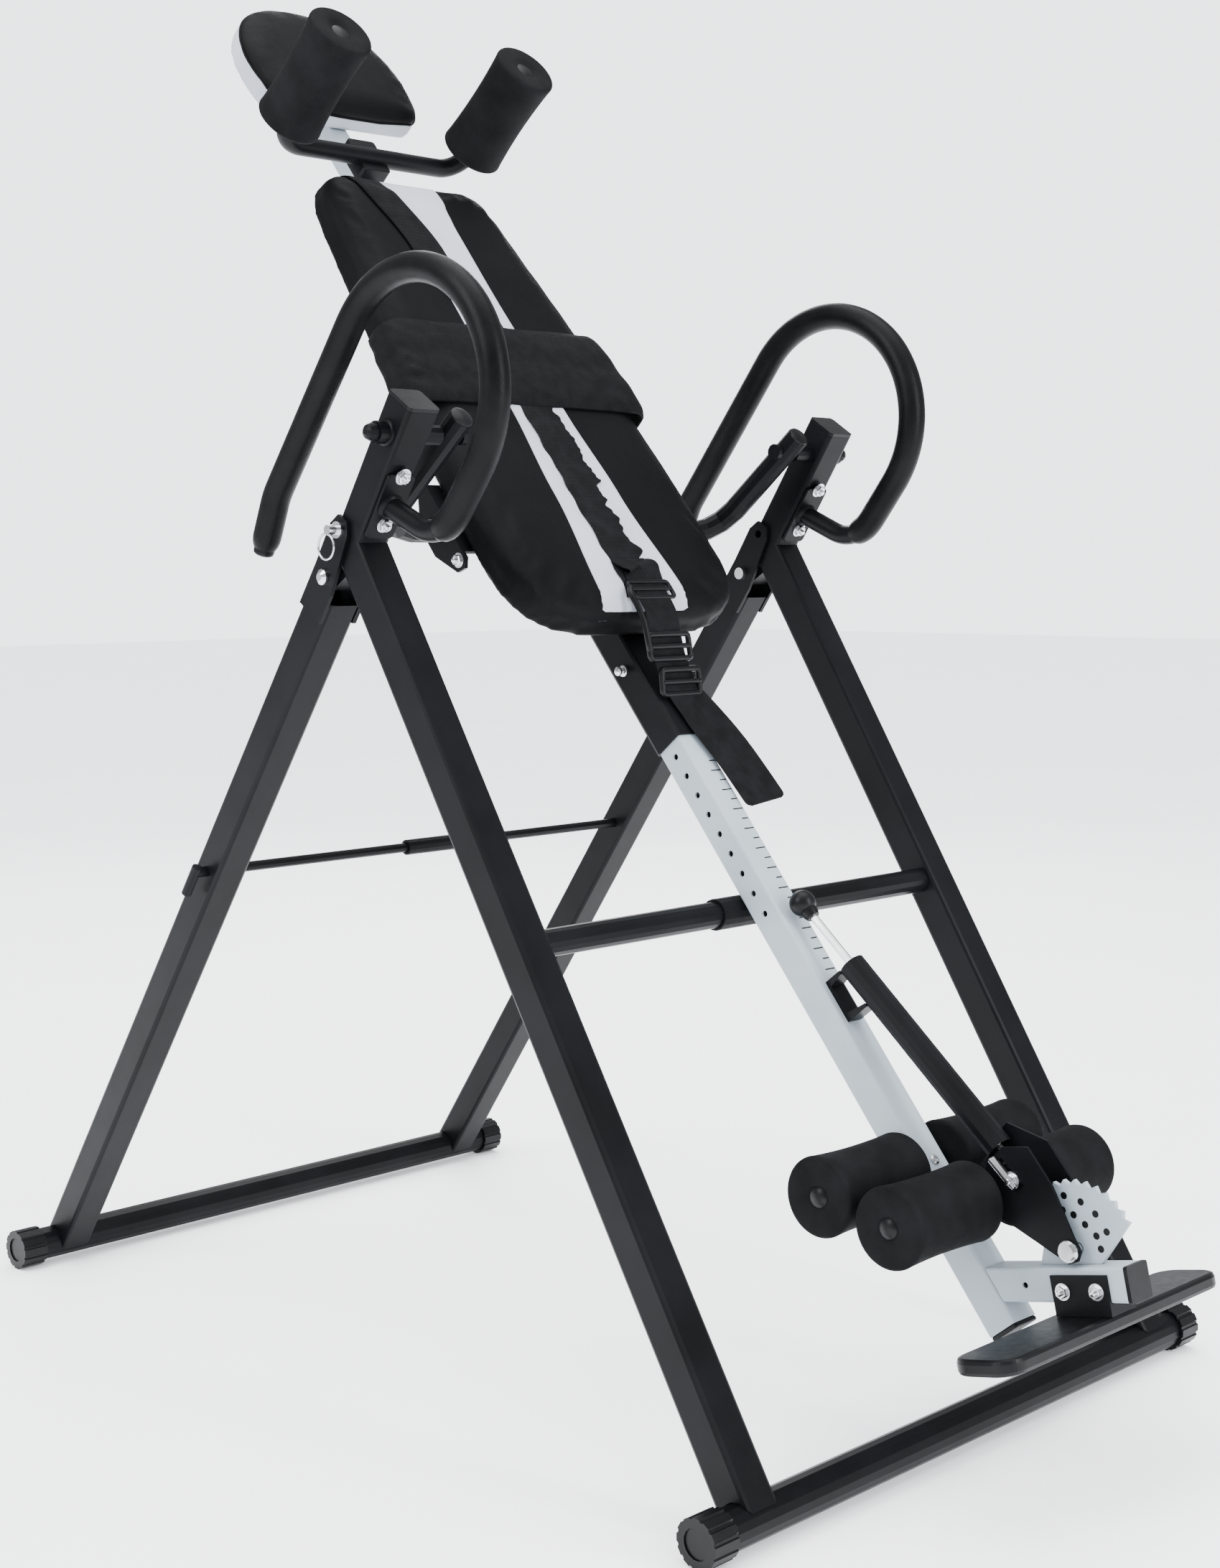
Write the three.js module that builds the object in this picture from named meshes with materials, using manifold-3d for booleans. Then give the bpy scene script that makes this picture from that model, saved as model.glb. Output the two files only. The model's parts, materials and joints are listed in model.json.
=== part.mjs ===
// An inversion table: a folding A-frame carries a padded bed that tilts about a high pivot,
// and a toothed ankle clamp at the foot of the bed holds the user by the ankles.
// Millimetres. +Z is up, +X is the user's front, +Y is the user's left.
import * as THREE from 'three';
import { mergeVertices } from 'three/addons/utils/BufferGeometryUtils.js';
import Module from 'manifold-3d';

const wasm = await Module();
wasm.setup();

// ---- driving dimensions -------------------------------------------------------------------
const GAP = 0.3; // between pieces that touch
const WALL = 2; // of every steel tube
const FRAME_TUBE = 38; // square frame tube
const FRAME_Y = 308; // centre of the legs, either side
const FLOOR_TUBE_R = 19;
const FOOT_R = 22.5; // foot caps, which stand on the floor
const HALF_WIDTH = 378; // to the outer face of the foot caps
const FRONT_FLOOR_X = 430;
const REAR_FLOOR_X = -688;
const PIVOT = [-21.6, 961]; // x and z of the bed's tilt axis
const LEG_BEND = [-89.5, 857.4]; // where the front leg turns into the upright
const UPRIGHT_TOP = [-3.5, 988.6];
const FOLD_AXIS = [-118, 824]; // bolt that the rear frame folds about
const LOCK_PIN = [-93, 870];
const CROSS_TUBE = [143.8, 482];
const STOP_ROD = [-343, 508];
const BED_TILT = THREE.MathUtils.degToRad(39.35); // of the bed from upright, at rest
const ARM_Y = 250; // hanger arms
const BOOM_TUBE = 40;
const BOOM_H = -141.5; // centre of the boom and height tube, behind the tilt axis
const HEIGHT_TUBE = 35;
const BOARD_BACK = -121.2;
const BOARD_FRONT = -113.3;
const CUSHION_FRONT = -80;
const HOLE_PITCH = 24.4; // of the height tube's nine holes
const ROLLER_R = 39;
const ROLLER_WAIST_R = 37;
const ROLLER_END_Y = 154;
const ROLLER_START_Y = 30;
const LEVER_Y = 14.2; // inner faces of the clamp plates

const UP = new THREE.Vector3(0, 1, 0);
const side = { left: 1, right: -1 };

// ---- finishes -----------------------------------------------------------------------------
const finish = (color, roughness, metalness) =>
  new THREE.MeshStandardMaterial({ color, roughness, metalness });
const BLACK_PAINT = finish('#15181a', 0.45, 0.2);
const SILVER_PAINT = finish('#c3ced6', 0.4, 0.2);
const CHROME = finish('#d8dadc', 0.15, 1);
const FOAM = finish('#191b1c', 0.95, 0);
const PLASTIC = finish('#121315', 0.4, 0);
const LEATHERETTE = finish('#0d0e10', 0.6, 0);
const WEBBING = finish('#101113', 0.85, 0);
const WOOD = finish('#3a3128', 0.8, 0);
const RUBBER = finish('#1a1a1b', 0.8, 0);

// ---- solids -------------------------------------------------------------------------------
// A closed solid from a three.js geometry: vertices merged, slivers dropped, faces outward.
function solid(geometry) {
  const bare = geometry.clone();
  bare.deleteAttribute('normal');
  bare.deleteAttribute('uv');
  const merged = mergeVertices(bare, 0.001);
  const index = Array.from(merged.index.array);
  const corner = new THREE.Vector3();
  const triangles = [];
  let volume = 0;
  for (let i = 0; i < index.length; i += 3) {
    const [a, b, c] = index.slice(i, i + 3);
    if (a === b || b === c || c === a) continue;
    triangles.push(a, b, c);
    const at = (k) => corner.clone().fromBufferAttribute(merged.attributes.position, k);
    const [p, q, r] = [at(a), at(b), at(c)];
    volume += p.dot(q.cross(r));
  }
  const triVerts = Uint32Array.from(volume < 0 ? triangles.reverse() : triangles);
  const vertProperties = Float32Array.from(merged.attributes.position.array);
  return new wasm.Manifold(new wasm.Mesh({ numProp: 3, vertProperties, triVerts }));
}

const join = (first, ...rest) => rest.reduce((whole, piece) => whole.add(piece), first);
const cut = (first, ...rest) => rest.reduce((whole, piece) => whole.subtract(piece), first);

function geometryOf(piece) {
  const { numProp, vertProperties, triVerts } = piece.getMesh();
  const count = vertProperties.length / numProp;
  const position = new Float32Array(count * 3);
  for (let i = 0; i < count; i += 1) {
    position.set(vertProperties.subarray(i * numProp, i * numProp + 3), i * 3);
  }
  const geometry = new THREE.BufferGeometry();
  geometry.setAttribute('position', new THREE.BufferAttribute(position, 3));
  geometry.setIndex(Array.from(triVerts));
  return geometry;
}

// A mesh named for its sub-part, added to a group.
function place(group, name, piece, material) {
  const mesh = new THREE.Mesh(geometryOf(piece), material);
  mesh.name = name;
  group.add(mesh);
}

// ---- basic shapes -------------------------------------------------------------------------
// Outline of a square with rounded corners, centred on the origin.
function roundedSquare(width, depth, radius) {
  const shape = new THREE.Shape();
  const [x, y] = [width / 2 - radius, depth / 2 - radius];
  shape.absarc(x, y, radius, 0, Math.PI / 2);
  shape.absarc(-x, y, radius, Math.PI / 2, Math.PI);
  shape.absarc(-x, -y, radius, Math.PI, 1.5 * Math.PI);
  shape.absarc(x, -y, radius, 1.5 * Math.PI, 2 * Math.PI);
  shape.closePath();
  return shape;
}

// A closed outline, always drawn anticlockwise so that it may have holes.
function polygon(points) {
  const corners = points.map(([x, y]) => new THREE.Vector2(x, y));
  if (THREE.ShapeUtils.isClockWise(corners)) corners.reverse();
  return new THREE.Shape(corners);
}

function circle(x, y, radius, PathClass = THREE.Path) {
  return new PathClass().absarc(x, y, radius, 0, 2 * Math.PI, false);
}

const extrude = (shape, depth, curveSegments = 4) =>
  new THREE.ExtrudeGeometry(shape, { depth, bevelEnabled: false, curveSegments });

// A flat plate drawn in the X-Z plane, between two places along Y.
function sidePlate(shape, y0, y1, curveSegments = 4) {
  const geometry = extrude(shape, Math.abs(y1 - y0), curveSegments);
  geometry.rotateX(Math.PI / 2);
  geometry.translate(0, Math.max(y0, y1), 0);
  return solid(geometry);
}

// A flat plate drawn in the Y-Z plane, between two places along X.
function facePlate(shape, x0, x1, curveSegments = 6) {
  const geometry = extrude(shape, x1 - x0, curveSegments);
  const [x, y, z] = [UP.clone(), new THREE.Vector3(0, 0, 1), new THREE.Vector3(1, 0, 0)];
  geometry.applyMatrix4(new THREE.Matrix4().makeBasis(x, y, z));
  geometry.translate(x0, 0, 0);
  return solid(geometry);
}

function box(x0, x1, y0, y1, z0, z1) {
  const geometry = new THREE.BoxGeometry(x1 - x0, Math.abs(y1 - y0), z1 - z0);
  return solid(geometry.translate((x0 + x1) / 2, (y0 + y1) / 2, (z0 + z1) / 2));
}

// A round bar along Y, centred at x and z.
function crossBar([x, z], radius, y0, y1, sides = 12) {
  const geometry = new THREE.CylinderGeometry(radius, radius, Math.abs(y1 - y0), sides);
  geometry.rotateY(Math.PI / sides);
  return solid(geometry.translate(x, (y0 + y1) / 2, z));
}

// A round bar from one point to another, both as x, y, z.
function bar(from, to, radius, sides = 12) {
  const [a, b] = [new THREE.Vector3(...from), new THREE.Vector3(...to)];
  const geometry = new THREE.CylinderGeometry(radius, radius, a.distanceTo(b), sides);
  const direction = b.clone().sub(a).normalize();
  geometry.applyQuaternion(new THREE.Quaternion().setFromUnitVectors(UP, direction));
  return solid(geometry.translate(...a.add(b).multiplyScalar(0.5)));
}

// A piece turned about Y from a profile of [radius, y], moved to x and z.
function turned(profile, [x, z], hand = 1, sides = 16) {
  const points = profile.map(([r, y]) => new THREE.Vector2(r, y * hand));
  const geometry = new THREE.LatheGeometry(points, sides);
  return solid(geometry.translate(x, 0, z));
}

// A square tube or bar between two points of the X-Z plane, at a place along Y.
function squareBar([ax, az], [bx, bz], y, size, radius = 0) {
  const along = new THREE.Vector3(bx - ax, 0, bz - az);
  const length = along.length();
  along.normalize();
  const shape = radius ? roundedSquare(size, size, radius) : roundedSquare(size, size, 0.01);
  const geometry = extrude(shape, length, 1);
  const across = new THREE.Vector3().crossVectors(UP, along);
  geometry.applyMatrix4(new THREE.Matrix4().makeBasis(across, UP, along));
  return solid(geometry.translate(ax, y, az));
}

// A tube that follows a path. An inner radius makes it hollow.
function bentTube(path, steps, outer, inner = 0, sides = 12) {
  const section = circle(0, 0, outer, THREE.Shape);
  if (inner) section.holes.push(circle(0, 0, inner));
  const options = { steps, extrudePath: path, curveSegments: sides / 2 };
  return solid(new THREE.ExtrudeGeometry(section, options));
}

// A path of straight runs whose corners are bent to a radius. Corners are [x, y, z, radius].
function bentPath(corners) {
  const path = new THREE.CurvePath();
  const point = corners.map(([x, y, z]) => new THREE.Vector3(x, y, z));
  let from = point[0];
  for (let i = 1; i < point.length - 1; i += 1) {
    const back = point[i - 1].clone().sub(point[i]).normalize();
    const ahead = point[i + 1].clone().sub(point[i]).normalize();
    const halfTurn = (Math.PI - back.angleTo(ahead)) / 2;
    const reach = corners[i][3] * Math.tan(halfTurn);
    const start = point[i].clone().addScaledVector(back, reach);
    const end = point[i].clone().addScaledVector(ahead, reach);
    // a cubic whose handles make it follow the arc
    const handle = (4 / 3) * Math.tan(halfTurn / 2) * corners[i][3];
    const c1 = start.clone().addScaledVector(back, -handle);
    const c2 = end.clone().addScaledVector(ahead, -handle);
    if (from.distanceTo(start) > 0.1) path.add(new THREE.LineCurve3(from, start));
    path.add(new THREE.CubicBezierCurve3(start, c1, c2, end));
    from = end;
  }
  path.add(new THREE.LineCurve3(from, point.at(-1)));
  return path;
}

// The part of a path between two fractions of its length.
function stretch(path, from, to, count) {
  const points = [];
  for (let i = 0; i <= count; i += 1) points.push(path.getPointAt(from + ((to - from) * i) / count));
  return new THREE.CatmullRomCurve3(points);
}

// An hourglass foam roller along Y between two places, with a bore for its axle.
function foamRoller([x, z], y0, y1, radius, waist, bore) {
  const profile = [[bore, y0]];
  const rings = 4;
  const round = 6;
  profile.push([radius - round, y0]);
  for (let i = 0; i <= rings; i += 1) {
    const t = i / rings;
    const y = y0 + round + (y1 - y0 - 2 * round) * t;
    profile.push([waist + (radius - waist) * (2 * t - 1) ** 2, y]);
  }
  profile.push([radius - round, y1], [bore, y1], [bore, y0]);
  return turned(profile, [x, z], 1, 14);
}

const unit = ([ax, az], [bx, bz]) => {
  const length = Math.hypot(bx - ax, bz - az);
  return [(bx - ax) / length, (bz - az) / length];
};
const step = ([x, z], [dx, dz], distance) => [x + dx * distance, z + dz * distance];

const table = new THREE.Group();

// ---- front frame --------------------------------------------------------------------------
const frontFloor = [FRONT_FLOOR_X, FOOT_R];
const rearFloor = [REAR_FLOOR_X, FOOT_R];
const uprightAlong = unit(LEG_BEND, UPRIGHT_TOP);
const uprightFront = [uprightAlong[1], -uprightAlong[0]];
const legAlong = unit(LEG_BEND, frontFloor);
const innerY = FRAME_Y - FRAME_TUBE / 2;
const outerY = FRAME_Y + FRAME_TUBE / 2;
const SLEEVE_END_Y = 341; // outer end of the welded pivot sleeve

// The space on one side of the plane that mitres the bent front leg. It stops just short of
// the plane, so that the two runs overlap where they are joined.
function mitreSpace(sign) {
  const half = unit([0, 0], [uprightAlong[0] - legAlong[0], uprightAlong[1] - legAlong[1]]);
  const centre = step(LEG_BEND, half, sign * 150.1);
  const angle = Math.atan2(half[0], half[1]);
  const geometry = new THREE.BoxGeometry(300, 900, 300).rotateY(angle);
  return solid(geometry.translate(centre[0], 0, centre[1]));
}

function frontLeg(hand) {
  const y = hand * FRAME_Y;
  const pieces = [FRAME_TUBE, FRAME_TUBE - 2 * WALL].map((size, inside) => {
    const radius = inside ? 0 : 4;
    const over = inside ? 5 : 0;
    const top = step(UPRIGHT_TOP, uprightAlong, over);
    const upper = squareBar(step(LEG_BEND, uprightAlong, -30), top, y, size, radius);
    const foot = step(frontFloor, legAlong, over);
    const lower = squareBar(step(LEG_BEND, legAlong, -30), foot, y, size, radius);
    return join(cut(upper, mitreSpace(-1)), cut(lower, mitreSpace(1)));
  });
  const tube = cut(...pieces);
  const sleeve = crossBar(PIVOT, 11, hand * SLEEVE_END_Y, hand * (innerY - 3), 16);
  // the lug ends one wall thickness into the leg, where it is welded
  const legRear = [-legAlong[1], legAlong[0]].map((v) => -v);
  const nearLeg = step(FOLD_AXIS, [-legRear[0], -legRear[1]], 24);
  const lug = polygon([
    step(nearLeg, legAlong, 13),
    step(nearLeg, legAlong, -26),
    step(FOLD_AXIS, legAlong, -14),
    step(FOLD_AXIS, legAlong, 13),
  ]);
  const lugPlate = sidePlate(lug, hand * (FRAME_Y - 15), hand * (FRAME_Y + 15));
  const lugEye = crossBar(FOLD_AXIS, 13.5, hand * (FRAME_Y - 15), hand * (FRAME_Y + 15));
  const across = [hand * (innerY - 60), hand * (outerY + 60)];
  return cut(
    join(tube, sleeve, lugPlate, lugEye),
    crossBar(PIVOT, 6.4, ...across),
    crossBar(FOLD_AXIS, 4.6, ...across),
    crossBar(LOCK_PIN, 4.6, ...across),
    crossBar(frontFloor, FLOOR_TUBE_R + 2 * GAP, ...across, 24),
  );
}

// A hollow floor tube between its foot caps.
function floorTube(centre) {
  const end = HALF_WIDTH - 5;
  const bore = crossBar(centre, FLOOR_TUBE_R - WALL, -end - 1, end + 1, 16);
  return cut(crossBar(centre, FLOOR_TUBE_R, -end, end, 16), bore);
}

// A ribbed cap over the end of a floor tube. One rib is flat on the floor.
function footCap([x, z], hand) {
  const RIBS = 12;
  const shape = new THREE.Shape();
  for (let i = 0; i < RIBS; i += 1) {
    const middle = -Math.PI / 2 + (i * 2 * Math.PI) / RIBS;
    const half = (0.3 * 2 * Math.PI) / RIBS;
    const rib = FOOT_R / Math.cos(half);
    const groove = FOOT_R - 1.2;
    for (const [angle, r] of [[-half, rib], [half, rib], [half * 1.3, groove], [half * 2, groove]]) {
      const [px, pz] = [x + r * Math.cos(middle + angle), z + r * Math.sin(middle + angle)];
      if (i === 0 && angle === -half) shape.moveTo(px, pz);
      else shape.lineTo(px, pz);
    }
  }
  const body = sidePlate(shape, hand * (HALF_WIDTH - 30), hand * HALF_WIDTH);
  const end = hand * HALF_WIDTH;
  const bore = crossBar([x, z], FLOOR_TUBE_R + GAP, end - hand * 31, end - hand * 4.5, 16);
  const recess = crossBar([x, z], 14, end - hand * 1.5, end + hand, 16);
  return cut(body, bore, recess);
}

function uprightCap(hand) {
  const y = hand * FRAME_Y;
  const top = step(UPRIGHT_TOP, uprightAlong, GAP);
  const lid = squareBar(top, step(top, uprightAlong, 4), y, FRAME_TUBE, 4);
  const inside = FRAME_TUBE - 2 * WALL - 1;
  const plug = squareBar(step(top, uprightAlong, -12), step(top, uprightAlong, 1), y, inside);
  return join(lid, plug);
}

// The handlebar is one U bend with parallel legs. Its front leg turns back to a flange on the
// upright, and its rear leg has a slight kink near its open end.
const HANDLE_R = 11;
const HANDLE_U_R = 119;
const HANDLE_U_CENTRE = [-5, 997];
const HANDLE_LEAN = THREE.MathUtils.degToRad(-38);
const HANDLE_BEND_R = 45;
const handleSeat = step(step(PIVOT, uprightAlong, -69), uprightFront, FRAME_TUBE / 2 + GAP);

function handlePath(y) {
  const along = [Math.sin(-HANDLE_LEAN), Math.cos(HANDLE_LEAN)];
  const outward = [Math.cos(HANDLE_LEAN), Math.sin(HANDLE_LEAN)];
  const frontTop = step(HANDLE_U_CENTRE, outward, HANDLE_U_R);
  const rearTop = step(HANDLE_U_CENTRE, outward, -HANDLE_U_R);
  const corner = step(frontTop, along, -85);
  const kink = step(rearTop, along, -207);
  const end = step(kink, [-0.396, -0.918], 62);
  const cap = HANDLE_U_R; // the U is drawn as two quarter bends
  const start = step(handleSeat, uprightFront, 2.5); // inside the flange
  return bentPath([
    [start[0], y, start[1]],
    [corner[0], y, corner[1], HANDLE_BEND_R],
    [...threeD(step(frontTop, along, cap), y), HANDLE_U_R],
    [...threeD(step(rearTop, along, cap), y), HANDLE_U_R],
    [kink[0], y, kink[1], 60],
    [end[0], y, end[1]],
  ]);
}

function threeD([x, z], y) {
  return [x, y, z];
}

const HANDLE_STEPS = 36;
const GRIP_FROM = 0.1;

function handlebar(hand) {
  const tube = bentTube(handlePath(hand * FRAME_Y), HANDLE_STEPS, HANDLE_R, HANDLE_R - WALL, 8);
  const low = step(handleSeat, uprightAlong, -36);
  const high = step(handleSeat, uprightAlong, 36);
  const lowFront = step(low, uprightFront, 4);
  const highFront = step(high, uprightFront, 4);
  const outline = polygon([low, high, highFront, lowFront]);
  const flange = sidePlate(outline, hand * (FRAME_Y - 17), hand * (FRAME_Y + 17));
  return join(tube, flange);
}

// Both ends of a grip match the tube's own steps, so the two follow the bends alike.
function handlebarGrip(hand) {
  const path = stretch(handlePath(hand * FRAME_Y), GRIP_FROM, 0.995, HANDLE_STEPS);
  return bentTube(path, HANDLE_STEPS - 6, 15, HANDLE_R + 1.6, 8);
}

const crossTubeEnd = innerY - GAP;
for (const [name, hand] of Object.entries(side)) {
  place(table, `front_leg_${name}`, frontLeg(hand), BLACK_PAINT);
  place(table, `front_foot_cap_${name}`, footCap(frontFloor, hand), PLASTIC);
  place(table, `upright_cap_${name}`, uprightCap(hand), PLASTIC);
  place(table, `handlebar_${name}`, handlebar(hand), BLACK_PAINT);
  place(table, `handlebar_grip_${name}`, handlebarGrip(hand), FOAM);
}
place(table, 'front_floor_tube', floorTube(frontFloor), BLACK_PAINT);
const CROSS_TUBE_R = 13.5;
const CROSS_SLEEVE_END = 47;
place(table, 'cross_tube', cut(
  crossBar(CROSS_TUBE, CROSS_TUBE_R, -crossTubeEnd, crossTubeEnd, 16),
  crossBar(CROSS_TUBE, CROSS_TUBE_R - WALL, -crossTubeEnd - 1, crossTubeEnd + 1, 16),
), BLACK_PAINT);
place(table, 'cross_tube_sleeve', cut(
  crossBar(CROSS_TUBE, CROSS_TUBE_R + 2.7, -CROSS_SLEEVE_END, CROSS_SLEEVE_END, 16),
  crossBar(CROSS_TUBE, CROSS_TUBE_R + GAP, -CROSS_SLEEVE_END - 1, CROSS_SLEEVE_END + 1, 16),
), RUBBER);

// ---- rear frame ---------------------------------------------------------------------------
const rearAlong = unit(FOLD_AXIS, rearFloor);
const rearFront = [-rearAlong[1], rearAlong[0]];
const PLATE_INNER = outerY + GAP;
const PLATE_T = 4;

// One of the two fork plates that hold the rear leg to the front leg. y points outward from
// the leg's middle, so the same outline serves both faces.
function forkPlate(hand, face) {
  const pinRound = unit(FOLD_AXIS, LOCK_PIN);
  const pinSide = [pinRound[1], -pinRound[0]];
  const legSide = rearFront;
  const outline = polygon([
    step(step(FOLD_AXIS, rearAlong, 44), legSide, -19),
    step(step(FOLD_AXIS, rearAlong, 44), legSide, 19),
    step(step(FOLD_AXIS, rearAlong, 10), legSide, 19),
    step(LOCK_PIN, pinSide, 15),
    step(step(LOCK_PIN, pinSide, 8), pinRound, 13),
    step(step(LOCK_PIN, pinSide, -8), pinRound, 13),
    step(LOCK_PIN, pinSide, -15),
    step(step(FOLD_AXIS, rearAlong, -6), legSide, -19),
  ]);
  const weld = polygon([
    step(step(FOLD_AXIS, rearAlong, 44), legSide, -19),
    step(step(FOLD_AXIS, rearAlong, 44), legSide, 19),
    step(step(FOLD_AXIS, rearAlong, 24), legSide, 19),
    step(step(FOLD_AXIS, rearAlong, 24), legSide, -19),
  ]);
  const [near, far] = [PLATE_INNER - FRAME_Y, PLATE_INNER - FRAME_Y + PLATE_T];
  const y = (offset) => hand * (FRAME_Y + face * offset);
  return join(
    sidePlate(outline, y(near), y(far)),
    sidePlate(weld, y(near - 1), y(near + 1)),
  );
}

function rearLeg(hand) {
  const y = hand * FRAME_Y;
  const top = step(FOLD_AXIS, rearAlong, 22);
  const outer = squareBar(top, rearFloor, y, FRAME_TUBE, 4);
  const inside = FRAME_TUBE - 2 * WALL;
  const inner = squareBar(step(top, rearAlong, -5), step(rearFloor, rearAlong, 5), y, inside);
  const across = [hand * (innerY - 60), hand * (outerY + 60)];
  return cut(
    join(cut(outer, inner), forkPlate(hand, 1), forkPlate(hand, -1)),
    crossBar(FOLD_AXIS, 4.6, ...across),
    crossBar(LOCK_PIN, 4.6, ...across),
    crossBar(STOP_ROD, 6, ...across),
    crossBar(rearFloor, FLOOR_TUBE_R + 2 * GAP, ...across, 24),
  );
}

// A bolt through both fork plates, with its head outside and its nut inside.
function foldBolt(hand) {
  const head = PLATE_INNER + PLATE_T + GAP;
  const nut = innerY - GAP - PLATE_T - GAP;
  const profile = [
    [0, nut - 6], [7, nut - 6], [7, nut], [4, nut], [4, head], [8, head], [8, head + 3],
    [4, head + 6], [0, head + 6],
  ];
  return turned(profile, FOLD_AXIS, hand, 12);
}

// A pull pin in the outer fork plate, drawn as it stands with its tip clear of the upright.
function lockPin(hand) {
  const tip = outerY + 4;
  const plate = PLATE_INNER + PLATE_T + GAP;
  const profile = [
    [0, tip], [4, tip], [4, plate], [8.5, plate], [8.5, plate + 3], [5, plate + 3],
    [5, plate + 14], [0, plate + 14],
  ];
  return turned(profile, LOCK_PIN, hand, 12);
}

// The rod that stops the bed's tilt, bent over at its near end.
function stopRod() {
  const handleY = -(outerY + 14);
  const rod = crossBar(STOP_ROD, 5.5, handleY, outerY + 4, 10);
  const hook = step(STOP_ROD, rearAlong, 30);
  const back = step(STOP_ROD, rearAlong, -8);
  return join(rod, bar(threeD(back, handleY), threeD(hook, handleY), 5.5, 10));
}

for (const [name, hand] of Object.entries(side)) {
  place(table, `rear_leg_${name}`, rearLeg(hand), BLACK_PAINT);
  place(table, `rear_foot_cap_${name}`, footCap(rearFloor, hand), PLASTIC);
  place(table, `fold_bolt_${name}`, foldBolt(hand), CHROME);
  place(table, `lock_pin_${name}`, lockPin(hand), CHROME);
}
place(table, 'rear_floor_tube', floorTube(rearFloor), BLACK_PAINT);
place(table, 'stop_rod', stopRod(), BLACK_PAINT);
place(table, 'stop_rod_sleeve', cut(
  crossBar(STOP_ROD, 9, -50, 50),
  crossBar(STOP_ROD, 6.2, -51, 51),
), RUBBER);

// ---- bed ----------------------------------------------------------------------------------
// In the bed's own frame the tilt axis is the origin, X points to the user's front, square to
// the cushion, and Z points up the bed to the head.
const bed = new THREE.Group();
bed.position.set(PIVOT[0], 0, PIVOT[1]);
bed.rotation.y = -BED_TILT;
table.add(bed);

const toBed = ([x, z]) => {
  const [dx, dz] = [x - PIVOT[0], z - PIVOT[1]];
  const [c, s] = [Math.cos(BED_TILT), Math.sin(BED_TILT)];
  return [dx * c + dz * s, -dx * s + dz * c];
};

const BOOM_BOTTOM = -290;
const BOOM_TOP = 470;
const CUSHION_TOP = 493;
const CUSHION_BOTTOM = -166;
const HANGER_R = 13;
const PIN_S = -192; // the pop pin, up the bed

function boom() {
  const outer = squareBar([BOOM_H, BOOM_BOTTOM], [BOOM_H, BOOM_TOP], 0, BOOM_TUBE, 4);
  const inner = squareBar([BOOM_H, BOOM_BOTTOM - 5], [BOOM_H, BOOM_TOP + 5], 0, BOOM_TUBE - 2 * WALL);
  return cut(outer, inner, crossBar([BOOM_H, PIN_S], 4.3, -30, 0));
}

// A bent arm from the tilt axis to the side of the boom, with an angle plate that joins it to
// the board: a web on the arm, with a lug at its low end, and a flange behind the board.
function hanger(hand) {
  const path = bentPath([
    [26, hand * ARM_Y, 0],
    [BOOM_H, hand * ARM_Y, 0, 42],
    [BOOM_H, hand * (BOOM_TUBE / 2 + GAP), 0],
  ]);
  const back = BOARD_BACK - GAP;
  const web = polygon([
    [back, 45], [back, -42], [-121, -53], [-129, -61], [-141, -57], [-158, -22], [-158, 16], [-138, 45],
  ]);
  const flange = box(back - 4, back, hand * 125, hand * 178, -45, 45);
  return cut(
    join(bentTube(path, 18, HANGER_R, 0, 12), sidePlate(web, hand * 174, hand * 178), flange),
    crossBar([0, 0], 6.4, hand * (ARM_Y - 20), hand * (ARM_Y + 20)),
    crossBar([-131, -49], 3.2, hand * 170, hand * 182),
  );
}

// Half of the backrest outline as [y, s] from the bottom middle to the top middle.
function backrestShape(inset = 0) {
  const shape = new THREE.Shape();
  const [bottom, top] = [CUSHION_BOTTOM + inset, CUSHION_TOP - inset];
  const y = (value, hand) => hand * (value - inset);
  shape.moveTo(y(60, -1), bottom);
  shape.lineTo(y(60, 1), bottom);
  shape.bezierCurveTo(y(118, 1), bottom, y(168, 1), bottom + 16, y(171, 1), -80);
  shape.bezierCurveTo(y(174, 1), -20, y(166, 1), 130, y(154, 1), 260);
  shape.bezierCurveTo(y(149, 1), 310, y(142, 1), 360, y(137, 1), 405);
  shape.bezierCurveTo(y(133, 1), 452, y(122, 1), top, y(82, 1), top);
  shape.lineTo(y(82, -1), top);
  shape.bezierCurveTo(y(122, -1), top, y(133, -1), 452, y(137, -1), 405);
  shape.bezierCurveTo(y(142, -1), 360, y(149, -1), 310, y(154, -1), 260);
  shape.bezierCurveTo(y(166, -1), 130, y(174, -1), -20, y(171, -1), -80);
  shape.bezierCurveTo(y(168, -1), bottom + 16, y(118, -1), bottom, y(60, -1), bottom);
  return shape;
}

// A pad across the cushion whose two ends wrap round its sides.
function lumbarPad() {
  const [inside, outside, back] = [168, 173, -112];
  const [face, front] = [CUSHION_FRONT + GAP, CUSHION_FRONT + 12];
  const shape = polygon([
    [back, -outside], [front - 8, -outside], [front, 34 - outside], [front, outside - 34],
    [front - 8, outside], [back, outside], [back, inside], [face, inside], [face, -inside],
    [back, -inside],
  ]);
  const geometry = extrude(shape, 118);
  return solid(geometry.translate(0, 0, 124));
}

// Webbing down the front of the cushion, over its lower edge and down the height tube. It
// drifts to the left below the cushion, so the lever can pass it.
const STRAP_T = 2.5;
const STRAP_HALF = 23;
const STRAP_TAIL_Y = 38;

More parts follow.
